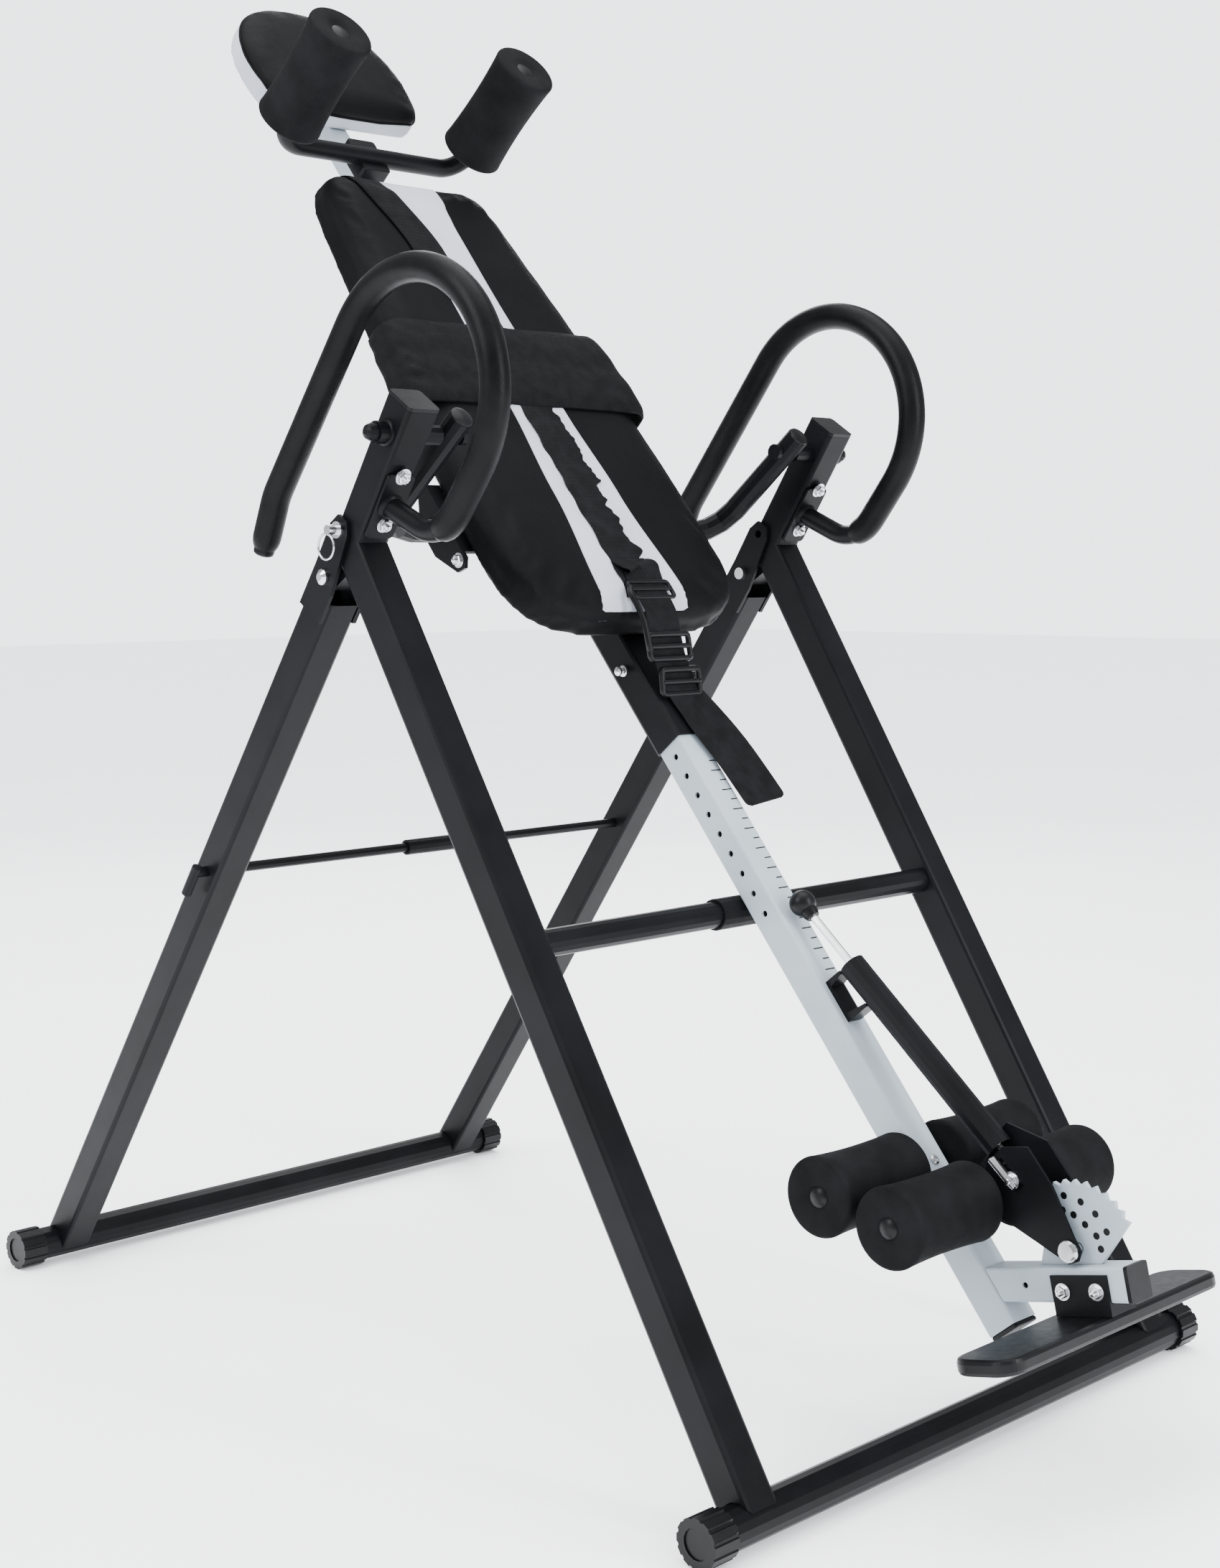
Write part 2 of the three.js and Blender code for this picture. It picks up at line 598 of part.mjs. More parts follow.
function strap() {
  const face = CUSHION_FRONT + GAP;
  const tubeFace = BOOM_H + BOOM_TUBE / 2 + 1;
  const route = [[face, 123], [face, -168], [-88, -186], [tubeFace, -222], [tubeFace, -385]];
  const front = route.map(([h, s]) => [h + STRAP_T, s - (s > -200 && s < -160 ? 1 : 0)]);
  const geometry = extrude(polygon([...route, ...front.reverse()]), 2 * STRAP_HALF);
  geometry.rotateX(Math.PI / 2);
  geometry.translate(0, STRAP_HALF, 0);
  const position = geometry.attributes.position;
  for (let i = 0; i < position.count; i += 1) {
    const drop = THREE.MathUtils.clamp((CUSHION_BOTTOM - position.getZ(i)) / 80, 0, 1);
    position.setY(i, position.getY(i) + STRAP_TAIL_Y * drop);
  }
  return solid(geometry);
}

function strapBuckle() {
  const front = CUSHION_FRONT + STRAP_T + 2 * GAP;
  return box(front, front + 13, -30, 30, -152, -86);
}

// The bolt that the bed tilts on, from its domed nut outside the sleeve to its inner head.
function pivotAxle(hand) {
  const collar = innerY - 3 - GAP;
  const arm = ARM_Y + HANGER_R + GAP;
  const inside = ARM_Y - HANGER_R - GAP;
  const out = SLEEVE_END_Y + GAP;
  const profile = [
    [0, inside - 6], [9, inside - 6], [9, inside], [6, inside], [6, arm], [10, arm], [10, collar],
    [6, collar], [6, out], [9, out], [9, out + 4], [7, out + 9], [3, out + 11], [0, out + 11],
  ];
  return turned(profile, [0, 0], hand, 12);
}

// The spring pin of the height adjustment. Its tip is drawn in the boom's wall.
function heightPin() {
  const wall = BOOM_TUBE / 2;
  const profile = [
    [0, wall - 1.5], [4, wall - 1.5], [4, wall + GAP], [7, wall + GAP], [7, wall + 5], [4, wall + 5],
    [4, wall + 8], [8, wall + 8], [8, wall + 13], [0, wall + 13],
  ];
  return turned(profile, [BOOM_H, PIN_S], -1, 12);
}

for (const [name, hand] of Object.entries(side)) {
  place(bed, `hanger_${name}`, hanger(hand), BLACK_PAINT);
  place(bed, `pivot_axle_${name}`, pivotAxle(hand), BLACK_PAINT);
}
place(bed, 'boom', boom(), BLACK_PAINT);
const SKIRT = 9; // of the cushion round the edge of the board
place(bed, 'backrest_board', facePlate(backrestShape(SKIRT + GAP), BOARD_BACK, BOARD_FRONT - GAP, 4), WOOD);
place(bed, 'backrest_cushion', cut(
  facePlate(backrestShape(), BOARD_BACK, CUSHION_FRONT, 5),
  facePlate(backrestShape(SKIRT), BOARD_BACK - 1, BOARD_FRONT, 4),
), LEATHERETTE);
place(bed, 'lumbar_pad', lumbarPad(), LEATHERETTE);
place(bed, 'strap', strap(), WEBBING);
place(bed, 'strap_buckle', strapBuckle(), PLASTIC);
place(bed, 'height_pin', heightPin(), CHROME);

// ---- headrest -----------------------------------------------------------------------------
const POST = 25;
const HEAD_BACK = -128.7;
const HEAD_FRONT = -92;
const HEAD_BOTTOM = 612;
const HEAD_TOP = 790;
const SHOULDER_S = 547;
const SHOULDER_H = -108;
const SHOULDER_Y = 136;

function headrestShape() {
  const shape = new THREE.Shape();
  shape.moveTo(-88, HEAD_BOTTOM);
  shape.lineTo(88, HEAD_BOTTOM);
  shape.bezierCurveTo(112, HEAD_BOTTOM, 118, 640, 119, 680);
  shape.bezierCurveTo(118, 735, 88, HEAD_TOP, 0, HEAD_TOP);
  shape.bezierCurveTo(-88, HEAD_TOP, -118, 735, -119, 680);
  shape.bezierCurveTo(-118, 640, -112, HEAD_BOTTOM, -88, HEAD_BOTTOM);
  return shape;
}

const foamFrom = -78;
const foamTo = 54;

// The bar that carries the shoulder foams, welded to a saddle on the post.
function shoulderBar() {
  const path = bentPath([
    [foamTo - 4, -SHOULDER_Y, SHOULDER_S],
    [SHOULDER_H, -SHOULDER_Y, SHOULDER_S, 34],
    [SHOULDER_H, SHOULDER_Y, SHOULDER_S, 34],
    [foamTo - 4, SHOULDER_Y, SHOULDER_S],
  ]);
  const postFace = BOOM_H + POST / 2 + GAP;
  const saddle = box(postFace, SHOULDER_H, -20, 20, SHOULDER_S - 22, SHOULDER_S + 30);
  return join(bentTube(path, 30, 11, 0, 10), saddle);
}

function shoulderFoam(hand) {
  const roller = foamRoller([0, 0], foamFrom, foamTo, 38, 35, 11.8);
  const quarter = new THREE.Euler(0, 0, -Math.PI / 2);
  const matrix = new THREE.Matrix4().makeRotationFromEuler(quarter);
  const geometry = geometryOf(roller).applyMatrix4(matrix);
  return solid(geometry.translate(0, hand * SHOULDER_Y, SHOULDER_S));
}

place(bed, 'headrest_post', squareBar([BOOM_H, 380], [BOOM_H, 740], 0, POST, 2), SILVER_PAINT);
place(bed, 'headrest_cushion', facePlate(headrestShape(), HEAD_BACK, HEAD_FRONT), LEATHERETTE);
place(bed, 'shoulder_bar', shoulderBar(), BLACK_PAINT);
for (const [name, hand] of Object.entries(side)) {
  place(bed, `shoulder_foam_${name}`, shoulderFoam(hand), FOAM);
}

// ---- height tube and foot end -------------------------------------------------------------
const TUBE_FRONT = BOOM_H + HEIGHT_TUBE / 2;
const TUBE_TOP = -90;
const TUBE_BOTTOM = -963;
const FIRST_HOLE = -305;
const HOLES = 9;
const REAR_AXLE = [BOOM_H, -792];
const AXLE_R = 6;
const CARRIER = 32;
const CARRIER_FROM = [472.5, 168];
const CARRIER_TO = [609, 199.7];
const CLAMP_AXIS = [551, 218];

function adjustTube() {
  const outer = squareBar([BOOM_H, TUBE_BOTTOM], [BOOM_H, TUBE_TOP], 0, HEIGHT_TUBE, 2.5);
  const inner = squareBar([BOOM_H, TUBE_BOTTOM - 5], [BOOM_H, TUBE_TOP + 5], 0, HEIGHT_TUBE - 2 * WALL);
  const holes = [];
  for (let i = 0; i < HOLES; i += 1) {
    holes.push(crossBar([BOOM_H, FIRST_HOLE - i * HOLE_PITCH], 3.5, -30, 0, 8));
  }
  return cut(outer, inner, ...holes, crossBar(REAR_AXLE, AXLE_R + GAP, -30, 30));
}

const carrierAlong = unit(CARRIER_FROM, CARRIER_TO);
const carrierUp = [-carrierAlong[1], carrierAlong[0]];

// The carrier stands out from the front of the height tube, coped to its face.
function carrierTube() {
  const start = step(CARRIER_FROM, carrierAlong, -20);
  const outer = squareBar(toBed(start), toBed(CARRIER_TO), 0, CARRIER, 2.5);
  const before = toBed(step(start, carrierAlong, -5));
  const after = toBed(step(CARRIER_TO, carrierAlong, 5));
  const inner = squareBar(before, after, 0, CARRIER - 2 * WALL);
  const tubeSpace = box(-400, TUBE_FRONT + GAP, -40, 40, -1100, -800);
  const hole = crossBar(toBed(step(CARRIER_FROM, carrierAlong, 32)), 3, -20, 20);
  return cut(outer, inner, tubeSpace, hole);
}

function carrierCap() {
  const start = step(CARRIER_TO, carrierAlong, GAP);
  const lid = squareBar(toBed(start), toBed(step(start, carrierAlong, 4)), 0, CARRIER + 1, 2.5);
  const plug = squareBar(toBed(step(start, carrierAlong, -10)), toBed(step(start, carrierAlong, 1)), 0, 27);
  return join(lid, plug);
}

// A toothed plate that stands on the carrier. Its teeth are an arc about the clamp's axis.
const TOOTH_R = 62;
const TEETH = 8;
const SECTOR_HOLES = [ // degrees round the clamp's axis, and radius
  [110, 48], [88, 43], [64, 39], [36, 36], [119, 36], [101, 30], [74, 24], [39, 24], [10, 24],
];
function sectorPlate() {
  const on = (along, up) => step(step(CLAMP_AXIS, carrierAlong, along), carrierUp, up);
  const toCarrier = [CLAMP_AXIS[0] - CARRIER_FROM[0], CLAMP_AXIS[1] - CARRIER_FROM[1]];
  const height = toCarrier[0] * carrierUp[0] + toCarrier[1] * carrierUp[1];
  const top = CARRIER / 2 + GAP - height; // the carrier's top face, from the clamp's axis
  const [first, last] = [THREE.MathUtils.degToRad(117), THREE.MathUtils.degToRad(33)];
  const points = [on(-44, top), on(22, top)];
  for (let i = 0; i <= 2 * TEETH; i += 1) {
    const angle = last + ((first - last) * i) / (2 * TEETH);
    const radius = i % 2 ? TOOTH_R - 5 : TOOTH_R;
    points.push([CLAMP_AXIS[0] + radius * Math.cos(angle), CLAMP_AXIS[1] + radius * Math.sin(angle)]);
  }
  const shape = polygon(points.map(toBed));
  for (const [degrees, radius] of SECTOR_HOLES) {
    const angle = THREE.MathUtils.degToRad(degrees);
    const centre = toBed(step(CLAMP_AXIS, [Math.cos(angle), Math.sin(angle)], radius));
    shape.holes.push(circle(...centre, 2.8));
  }
  const bolt = crossBar(toBed(CLAMP_AXIS), 5.4, -10, 10);
  return cut(sidePlate(shape, -2.5, 2.5, 3), bolt);
}

// A bar with round ends, drawn across the bed and tilted with the carrier.
const FOOT_PLATE_T = 15;
const BRACKET_T = 11; // under the carrier
const FOOT_PLATE_CENTRE = 87; // along the carrier from its start
const BRACKET_CENTRE = 93;
function footPlate() {
  const [width, halfLength, corner] = [68, 172, 22];
  const shape = new THREE.Shape();
  const [x, y] = [width / 2 - corner, halfLength - corner];
  shape.absarc(x, y, corner, 0, Math.PI / 2);
  shape.absarc(-x, y, corner, Math.PI / 2, Math.PI);
  shape.absarc(-x, -y, corner, Math.PI, 1.5 * Math.PI);
  shape.absarc(x, -y, corner, 1.5 * Math.PI, 2 * Math.PI);
  const bevel = 4;
  const geometry = new THREE.ExtrudeGeometry(shape, {
    depth: FOOT_PLATE_T - 2 * bevel,
    bevelThickness: bevel,
    bevelSize: bevel,
    bevelOffset: -bevel,
    bevelSegments: 2,
    curveSegments: 5,
  });
  geometry.translate(0, 0, bevel - CARRIER / 2 - BRACKET_T - 2 * GAP - FOOT_PLATE_T);
  return solid(onCarrier(geometry, FOOT_PLATE_CENTRE));
}

// Moves a geometry drawn with X along the carrier and Z square to it into the bed's frame.
function onCarrier(geometry, along) {
  const slope = Math.atan2(carrierAlong[1], carrierAlong[0]);
  geometry.rotateY(BED_TILT - slope);
  const [h, s] = toBed(step(CARRIER_FROM, carrierAlong, along));
  return geometry.translate(h, 0, s);
}

// A bracket under the carrier with a tab up each side, bolted through.
function footPlateBracket() {
  const under = -CARRIER / 2 - GAP;
  const outer = CARRIER / 2 + GAP + 3;
  const base = new THREE.BoxGeometry(60, 2 * outer, BRACKET_T).translate(0, 0, under - BRACKET_T / 2);
  const tabs = [1, -1].map((hand) =>
    new THREE.BoxGeometry(60, 3, 30).translate(0, hand * (outer - 1.5), under + 11));
  return join(...[base, ...tabs].map((piece) => solid(onCarrier(piece, BRACKET_CENTRE))));
}

const KNOB = [221, 497];
const FRONT_AXLE = [452, 247];
const leverAlong = unit(CLAMP_AXIS, KNOB);
const leverSide = [leverAlong[1], -leverAlong[0]];
const KNOB_R = 13.5;
const knobReach = Math.hypot(KNOB[0] - CLAMP_AXIS[0], KNOB[1] - CLAMP_AXIS[1]);
const LEVER_R = 13.5;
const LEVER_FROM = 116;
const LEVER_TO = 349;
const onLever = (along, across) => toBed(step(step(CLAMP_AXIS, leverAlong, along), leverSide, across));
const threeOnLever = (along) => threeD(onLever(along, 0), 0);

// A thin clip on the height tube, with an arched seat that the lever tube rests in.
function leverSaddle() {
  const [low, high] = [-640, -594];
  const face = TUBE_FRONT + GAP;
  const clip = sidePlate(polygon([
    [face, low], [face, high], [-102, high], [-102, high - 4], [-120, high - 7], [-120, low + 8],
    [-94, low + 4], [-94, low],
  ]), -10, 10);
  const lever = bar(threeOnLever(LEVER_FROM), threeOnLever(LEVER_TO), LEVER_R + GAP, 14);
  return cut(clip, lever);
}

const foot = new THREE.Group();
bed.add(foot);
place(foot, 'adjust_tube', adjustTube(), SILVER_PAINT);
place(foot, 'carrier_tube', carrierTube(), SILVER_PAINT);
place(foot, 'carrier_cap', carrierCap(), PLASTIC);
place(foot, 'sector_plate', sectorPlate(), SILVER_PAINT);
place(foot, 'foot_plate', footPlate(), PLASTIC);
place(foot, 'foot_plate_bracket', footPlateBracket(), BLACK_PAINT);
place(foot, 'rear_ankle_axle', crossBar(REAR_AXLE, AXLE_R, -ROLLER_END_Y + 6, ROLLER_END_Y - 6), CHROME);
place(foot, 'lever_saddle', leverSaddle(), BLACK_PAINT);

// ---- ankle clamp --------------------------------------------------------------------------
// A dog-leg plate from the clamp's bolt past the lever to the front axle, with a slot that
// lets the pawl pin travel along the lever. The left plate reaches further up the lever.
function clampPlate(hand) {
  const reach = hand > 0 ? 132 : 110;
  const shape = polygon([
    onLever(-8, -9), onLever(-12, 0), onLever(-8, 9), onLever(6, 13), onLever(52, 30),
    onLever(92, 36), onLever(reach, 14), onLever(reach, -11), onLever(reach - 12, -34), onLever(98, -50),
    onLever(92, -54), onLever(78, -46), onLever(66, -36),
  ]);
  const y = [hand * LEVER_Y, hand * (LEVER_Y + 3)];
  const slot = polygon([onLever(70, -6.5), onLever(70, 6.5), onLever(104, 6.5), onLever(104, -6.5)]);
  const across = [hand * (LEVER_Y - 3), hand * (LEVER_Y + 8)];
  return cut(
    sidePlate(shape, ...y),
    sidePlate(slot, ...across),
    crossBar(toBed(CLAMP_AXIS), 5.4, ...across),
    crossBar(toBed(FRONT_AXLE), AXLE_R + GAP, ...across),
  );
}

function clampBolt() {
  const face = LEVER_Y + 3 + GAP;
  const profile = [
    [0, -face - 6], [8, -face - 6], [8, -face], [5, -face], [5, face], [8, face],
    [8, face + 5], [0, face + 5],
  ];
  return turned(profile, toBed(CLAMP_AXIS), 1, 12);
}

function leverTube() {
  const outer = bar(threeOnLever(LEVER_FROM), threeOnLever(LEVER_TO), LEVER_R, 14);
  const inner = bar(threeOnLever(LEVER_FROM - 5), threeOnLever(LEVER_TO - 5), LEVER_R - WALL, 14);
  const mouth = bar(threeOnLever(LEVER_TO - 10), threeOnLever(LEVER_TO + 5), 4.5, 10);
  return cut(outer, inner, mouth);
}

// The release rod runs through the lever tube and ends in the pin that locks on the teeth.
function releaseRod() {
  const rod = bar(threeOnLever(84), threeOnLever(knobReach - KNOB_R - GAP), 4, 10);
  const pin = crossBar(onLever(82, 0), 4.5, -22, 22);
  const blade = polygon([onLever(72, -6), onLever(72, 6), onLever(104, 6), onLever(104, -6)]);
  const flat = sidePlate(blade, -4, 4);
  return join(rod, pin, flat);
}

const clamp = new THREE.Group();
foot.add(clamp);
for (const [name, hand] of Object.entries(side)) {
  place(clamp, `clamp_plate_${name}`, clampPlate(hand), BLACK_PAINT);
}
place(clamp, 'clamp_pivot_bolt', clampBolt(), CHROME);
const frontAxle = crossBar(toBed(FRONT_AXLE), AXLE_R, -ROLLER_END_Y + 6, ROLLER_END_Y - 6);
place(clamp, 'front_ankle_axle', frontAxle, CHROME);
place(clamp, 'lever_tube', leverTube(), BLACK_PAINT);
place(clamp, 'release_rod', releaseRod(), CHROME);
const knobGeometry = new THREE.SphereGeometry(KNOB_R, 16, 10).translate(...threeD(toBed(KNOB), 0));
place(clamp, 'ball_knob', solid(knobGeometry), PLASTIC);

for (const [axleName, centre, group] of [['rear', REAR_AXLE, foot], ['front', toBed(FRONT_AXLE), clamp]]) {
  for (const [name, hand] of Object.entries(side)) {
    const [from, to] = hand > 0 ? [ROLLER_START_Y, ROLLER_END_Y] : [-ROLLER_END_Y, -ROLLER_START_Y];
    const roller = foamRoller(centre, from, to, ROLLER_R, ROLLER_WAIST_R, AXLE_R + 0.6);
    place(group, `${axleName}_roller_${name}`, roller, FOAM);
  }
}

// The origin is at the middle of the whole table's footprint, on the floor.
table.updateMatrixWorld(true);
const extent = new THREE.Box3().setFromObject(table, true);
table.position.x = -(extent.min.x + extent.max.x) / 2;

export default table;
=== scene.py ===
"""An inversion table: a tilting padded bed on a folding steel frame, with foam handlebars,
shoulder foams and a lever ankle clamp. Metres, with the axes of the CAD frame. In the bed's own
coordinates, h is out of the cushion's face, y is to the user's left and s is up the bed."""
import json
import math

import bmesh
import bpy
from mathutils import Matrix, Vector, noise
from mathutils.bvhtree import BVHTree


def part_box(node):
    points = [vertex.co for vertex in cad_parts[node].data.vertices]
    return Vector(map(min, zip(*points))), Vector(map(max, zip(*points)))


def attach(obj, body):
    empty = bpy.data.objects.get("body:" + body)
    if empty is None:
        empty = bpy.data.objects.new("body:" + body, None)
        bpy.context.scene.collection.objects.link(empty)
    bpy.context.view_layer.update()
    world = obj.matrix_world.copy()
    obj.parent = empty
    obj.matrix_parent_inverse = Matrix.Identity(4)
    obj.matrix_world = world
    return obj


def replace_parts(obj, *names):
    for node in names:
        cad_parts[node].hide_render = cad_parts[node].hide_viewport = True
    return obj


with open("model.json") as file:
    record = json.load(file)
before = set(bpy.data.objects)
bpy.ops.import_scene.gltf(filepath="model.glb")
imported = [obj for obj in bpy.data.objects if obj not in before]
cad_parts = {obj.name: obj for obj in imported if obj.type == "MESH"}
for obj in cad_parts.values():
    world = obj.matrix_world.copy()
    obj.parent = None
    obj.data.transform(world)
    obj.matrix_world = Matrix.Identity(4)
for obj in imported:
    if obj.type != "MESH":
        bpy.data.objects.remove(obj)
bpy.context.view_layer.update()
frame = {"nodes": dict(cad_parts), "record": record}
nodes = frame["nodes"]
SIDES = {"left": 1, "right": -1}


def centre(node):
    low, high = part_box(node)
    return (low + high) / 2


# ---- driving places -----------------------------------------------------------------------
PIVOT = Vector((centre("pivot_axle_left").x, 0, centre("pivot_axle_left").z))
BED_TILT = math.radians(39.35)
BED_OUT = Vector((math.cos(BED_TILT), 0, math.sin(BED_TILT)))
BED_UP = Vector((-math.sin(BED_TILT), 0, math.cos(BED_TILT)))
BED = Matrix((
    (BED_OUT.x, 0, BED_UP.x, PIVOT.x),
    (0, 1, 0, 0),
    (BED_OUT.z, 0, BED_UP.z, PIVOT.z),
    (0, 0, 0, 1),
))
BOOM_H = -0.1415  # the middle of the boom
BOARD_BACK = -0.1212
FRAME_Y = 0.308  # the middle of each side of the front frame
UPRIGHT = Vector((0.548, 0, 0.836))
UPRIGHT_FRONT = Vector((0.836, 0, -0.548))
LEFTWARD = Vector((0, 1, 0))
TINY = 1e-5
MERGE_DISTANCE = 1e-6


def on_bed(h, y, s):
    return BED @ Vector((h, y, s))


# ---- camera, floor and light --------------------------------------------------------------
CAMERA_PLACE = (1.6724, -1.6441, 0.8328)
CAMERA_ANGLES = (45.6, 5.7, -0.3)


def make_camera():
    azimuth, elevation, roll = (math.radians(a) for a in CAMERA_ANGLES)
    back = Vector((
        math.sin(azimuth) * math.cos(elevation),
        -math.cos(azimuth) * math.cos(elevation),
        math.sin(elevation),
    ))
    right = (-back).cross(Vector((0, 0, 1))).normalized()
    up = back.cross(right)
    rolled_right = right * math.cos(roll) + up * math.sin(roll)
    rolled_up = up * math.cos(roll) - right * math.sin(roll)
    data = bpy.data.cameras.new("camera")
    data.lens = 50
    data.sensor_width = 36
    camera = bpy.data.objects.new("camera", data)
    turn = Matrix((rolled_right, rolled_up, back)).transposed().to_4x4()
    camera.matrix_world = Matrix.Translation(CAMERA_PLACE) @ turn
    bpy.context.scene.collection.objects.link(camera)
    bpy.context.scene.camera = camera


def area_light(name, place, target, size, power):
    data = bpy.data.lights.new(name, "AREA")
    data.shape = "RECTANGLE"
    data.size, data.size_y = size
    data.energy = power
    light = bpy.data.objects.new(name, data)
    light.location = place
    light.rotation_mode = "QUATERNION"
    light.rotation_quaternion = (Vector(target) - Vector(place)).to_track_quat("-Z", "Y")
    bpy.context.scene.collection.objects.link(light)


BACKGROUND_STRENGTH = 3.4
REFLECTED_STRENGTH = 0.7


def make_studio():
    """The world is bright to the camera and dimmer in reflections, so that black paint stays dark."""
    make_camera()
    middle = (0, 0, 0.8)
    area_light("key", (-0.6, -3.2, 3.0), middle, (1.2, 2.4), 130)
    area_light("side", (3.4, 0.6, 1.8), middle, (0.6, 2.6), 120)
    area_light("top", (0, 0, 4.5), middle, (4.0, 4.0), 200)
    area_light("rear", (-2.8, 2.2, 2.4), middle, (1.6, 2.0), 60)
    world = bpy.data.worlds.new("studio")
    world.use_nodes = True
    background = world.node_tree.nodes["Background"]
    background.inputs["Color"].default_value = (0.94, 0.96, 1.0, 1)
    glossy = world.node_tree.nodes.new("ShaderNodeLightPath").outputs["Is Glossy Ray"]
    strength = world.node_tree.nodes.new("ShaderNodeMapRange")
    strength.inputs["To Min"].default_value = BACKGROUND_STRENGTH
    strength.inputs["To Max"].default_value = REFLECTED_STRENGTH
    world.node_tree.links.new(glossy, strength.inputs["Value"])
    world.node_tree.links.new(strength.outputs["Result"], background.inputs["Strength"])
    bpy.context.scene.world = world


# ---- materials ----------------------------------------------------------------------------
class Surface:
    """A Principled material whose colour, roughness and relief come from procedural textures."""

    def __init__(self, name, roughness, **settings):
        self.material = bpy.data.materials.new(name)
        self.material.use_nodes = True
        self.tree = self.material.node_tree
        self.shader = self.tree.nodes["Principled BSDF"]
        self.shader.inputs["Roughness"].default_value = roughness
        for socket, value in settings.items():
            self.shader.inputs[socket.replace("_", " ")].default_value = value
        self.place = self.tree.nodes.new("ShaderNodeTexCoord").outputs["Object"]
        self.relief = None

    def texture(self, kind, scale, stretch=None, turn=0.0, **inputs):
        node = self.tree.nodes.new(f"ShaderNodeTex{kind}")
        node.inputs["Scale"].default_value = scale
        for socket, value in inputs.items():
            node.inputs[socket].default_value = value
        place = self.place
        if stretch or turn:
            mapping = self.tree.nodes.new("ShaderNodeMapping")
            mapping.inputs["Rotation"].default_value = (0, turn, 0)
            mapping.inputs["Scale"].default_value = stretch or (1, 1, 1)
            self.tree.links.new(place, mapping.inputs["Vector"])
            place = mapping.outputs["Vector"]
        self.tree.links.new(place, node.inputs["Vector"])
        return node

    def colours(self, texture, dark, light):
        """A soft ramp between two colours, over the middle of the texture's range."""
        ramp = self.tree.nodes.new("ShaderNodeValToRGB")
        ramp.color_ramp.elements[0].position = 0.35
        ramp.color_ramp.elements[1].position = 0.65
        ramp.color_ramp.elements[0].color = (*dark, 1)
        ramp.color_ramp.elements[1].color = (*light, 1)
        self.tree.links.new(texture.outputs[0], ramp.inputs["Fac"])
        self.tree.links.new(ramp.outputs["Color"], self.shader.inputs["Base Color"])

    def gloss(self, texture, low, high):
        spread = self.tree.nodes.new("ShaderNodeMapRange")
        spread.inputs["To Min"].default_value = low
        spread.inputs["To Max"].default_value = high
        self.tree.links.new(texture.outputs[0], spread.inputs["Value"])
        self.tree.links.new(spread.outputs["Result"], self.shader.inputs["Roughness"])

    def bump(self, texture, strength, depth):
        node = self.tree.nodes.new("ShaderNodeBump")
        node.inputs["Strength"].default_value = strength
        node.inputs["Distance"].default_value = depth
        self.tree.links.new(texture.outputs[0], node.inputs["Height"])
        if self.relief:
            self.tree.links.new(self.relief, node.inputs["Normal"])
        self.relief = node.outputs["Normal"]
        self.tree.links.new(self.relief, self.shader.inputs["Normal"])


def painted(name, dark, light, low, high, shine):
    s = Surface(name, low, Specular_IOR_Level=shine)
    s.colours(s.texture("Noise", 9, Detail=5), dark, light)
    s.gloss(s.texture("Noise", 34, Detail=6), low, high)
    s.bump(s.texture("Noise", 1300, Detail=2), 0.12, 0.0003)
    return s.material


def metal(name):
    s = Surface(name, 0.2, Metallic=1.0)
    s.colours(s.texture("Noise", 60, Detail=4), (0.58, 0.59, 0.6), (0.66, 0.67, 0.68))
    s.gloss(s.texture("Noise", 240, Detail=4), 0.18, 0.3)
    s.bump(s.texture("Noise", 900, Detail=2), 0.05, 0.0002)
    return s.material


def foam(name, dark, light, low, high):
    s = Surface(name, low, Specular_IOR_Level=0.08)
    s.colours(s.texture("Noise", 26, Detail=6), dark, light)
    s.gloss(s.texture("Noise", 90, Detail=4), low, high)
    s.bump(s.texture("Voronoi", 1100), 0.28, 0.0004)
    s.bump(s.texture("Noise", 330, Detail=3), 0.2, 0.0005)
    return s.material


def plastic(name):
    s = Surface(name, 0.35, Specular_IOR_Level=0.16)
    s.colours(s.texture("Noise", 14, Detail=4), (0.0018, 0.002, 0.0024), (0.0034, 0.0037, 0.0043))
    s.gloss(s.texture("Noise", 120, Detail=3), 0.3, 0.46)
    s.bump(s.texture("Noise", 1700, Detail=2), 0.16, 0.0002)
    return s.material


def leatherette(name, dark, light, low, high):
    s = Surface(name, low, Specular_IOR_Level=0.07)
    s.colours(s.texture("Noise", 7, Detail=6), dark, light)
    s.gloss(s.texture("Noise", 45, Detail=4), low, high)
    s.bump(s.texture("Voronoi", 760), 0.3, 0.0004)
    s.bump(s.texture("Noise", 55, Detail=4), 0.25, 0.0012)
    return s.material


def cloth(name, dark, light, pitch):
    """Woven threads along and across the bed."""
    s = Surface(name, 0.8, Specular_IOR_Level=0.09)
    s.colours(s.texture("Noise", 60, Detail=5), dark, light)
    s.gloss(s.texture("Noise", 200, Detail=3), 0.62, 0.85)
    waves = 1 / (pitch * math.pi * 2)
    along = s.texture("Wave", waves, turn=BED_TILT, stretch=(0, 0, 1))
    along.bands_direction = "Z"
    across = s.texture("Wave", waves, stretch=(0, 1, 0))
    across.bands_direction = "Y"
    s.bump(along, 0.35, 0.0004)
    s.bump(across, 0.35, 0.0004)
    return s.material


def timber(name):
    s = Surface(name, 0.75)
    grain = s.texture("Noise", 30, stretch=(1, 9, 1), Detail=8)
    s.colours(grain, (0.03, 0.021, 0.014), (0.075, 0.052, 0.033))
    s.bump(s.texture("Noise", 160, stretch=(1, 8, 1), Detail=4), 0.3, 0.0006)
    return s.material


def floor_surface(name):
    s = Surface(name, 0.7)
    s.colours(s.texture("Noise", 3, Detail=3), (0.93, 0.935, 0.94), (0.955, 0.958, 0.962))
    s.bump(s.texture("Noise", 220, Detail=3), 0.03, 0.0005)
    return s.material


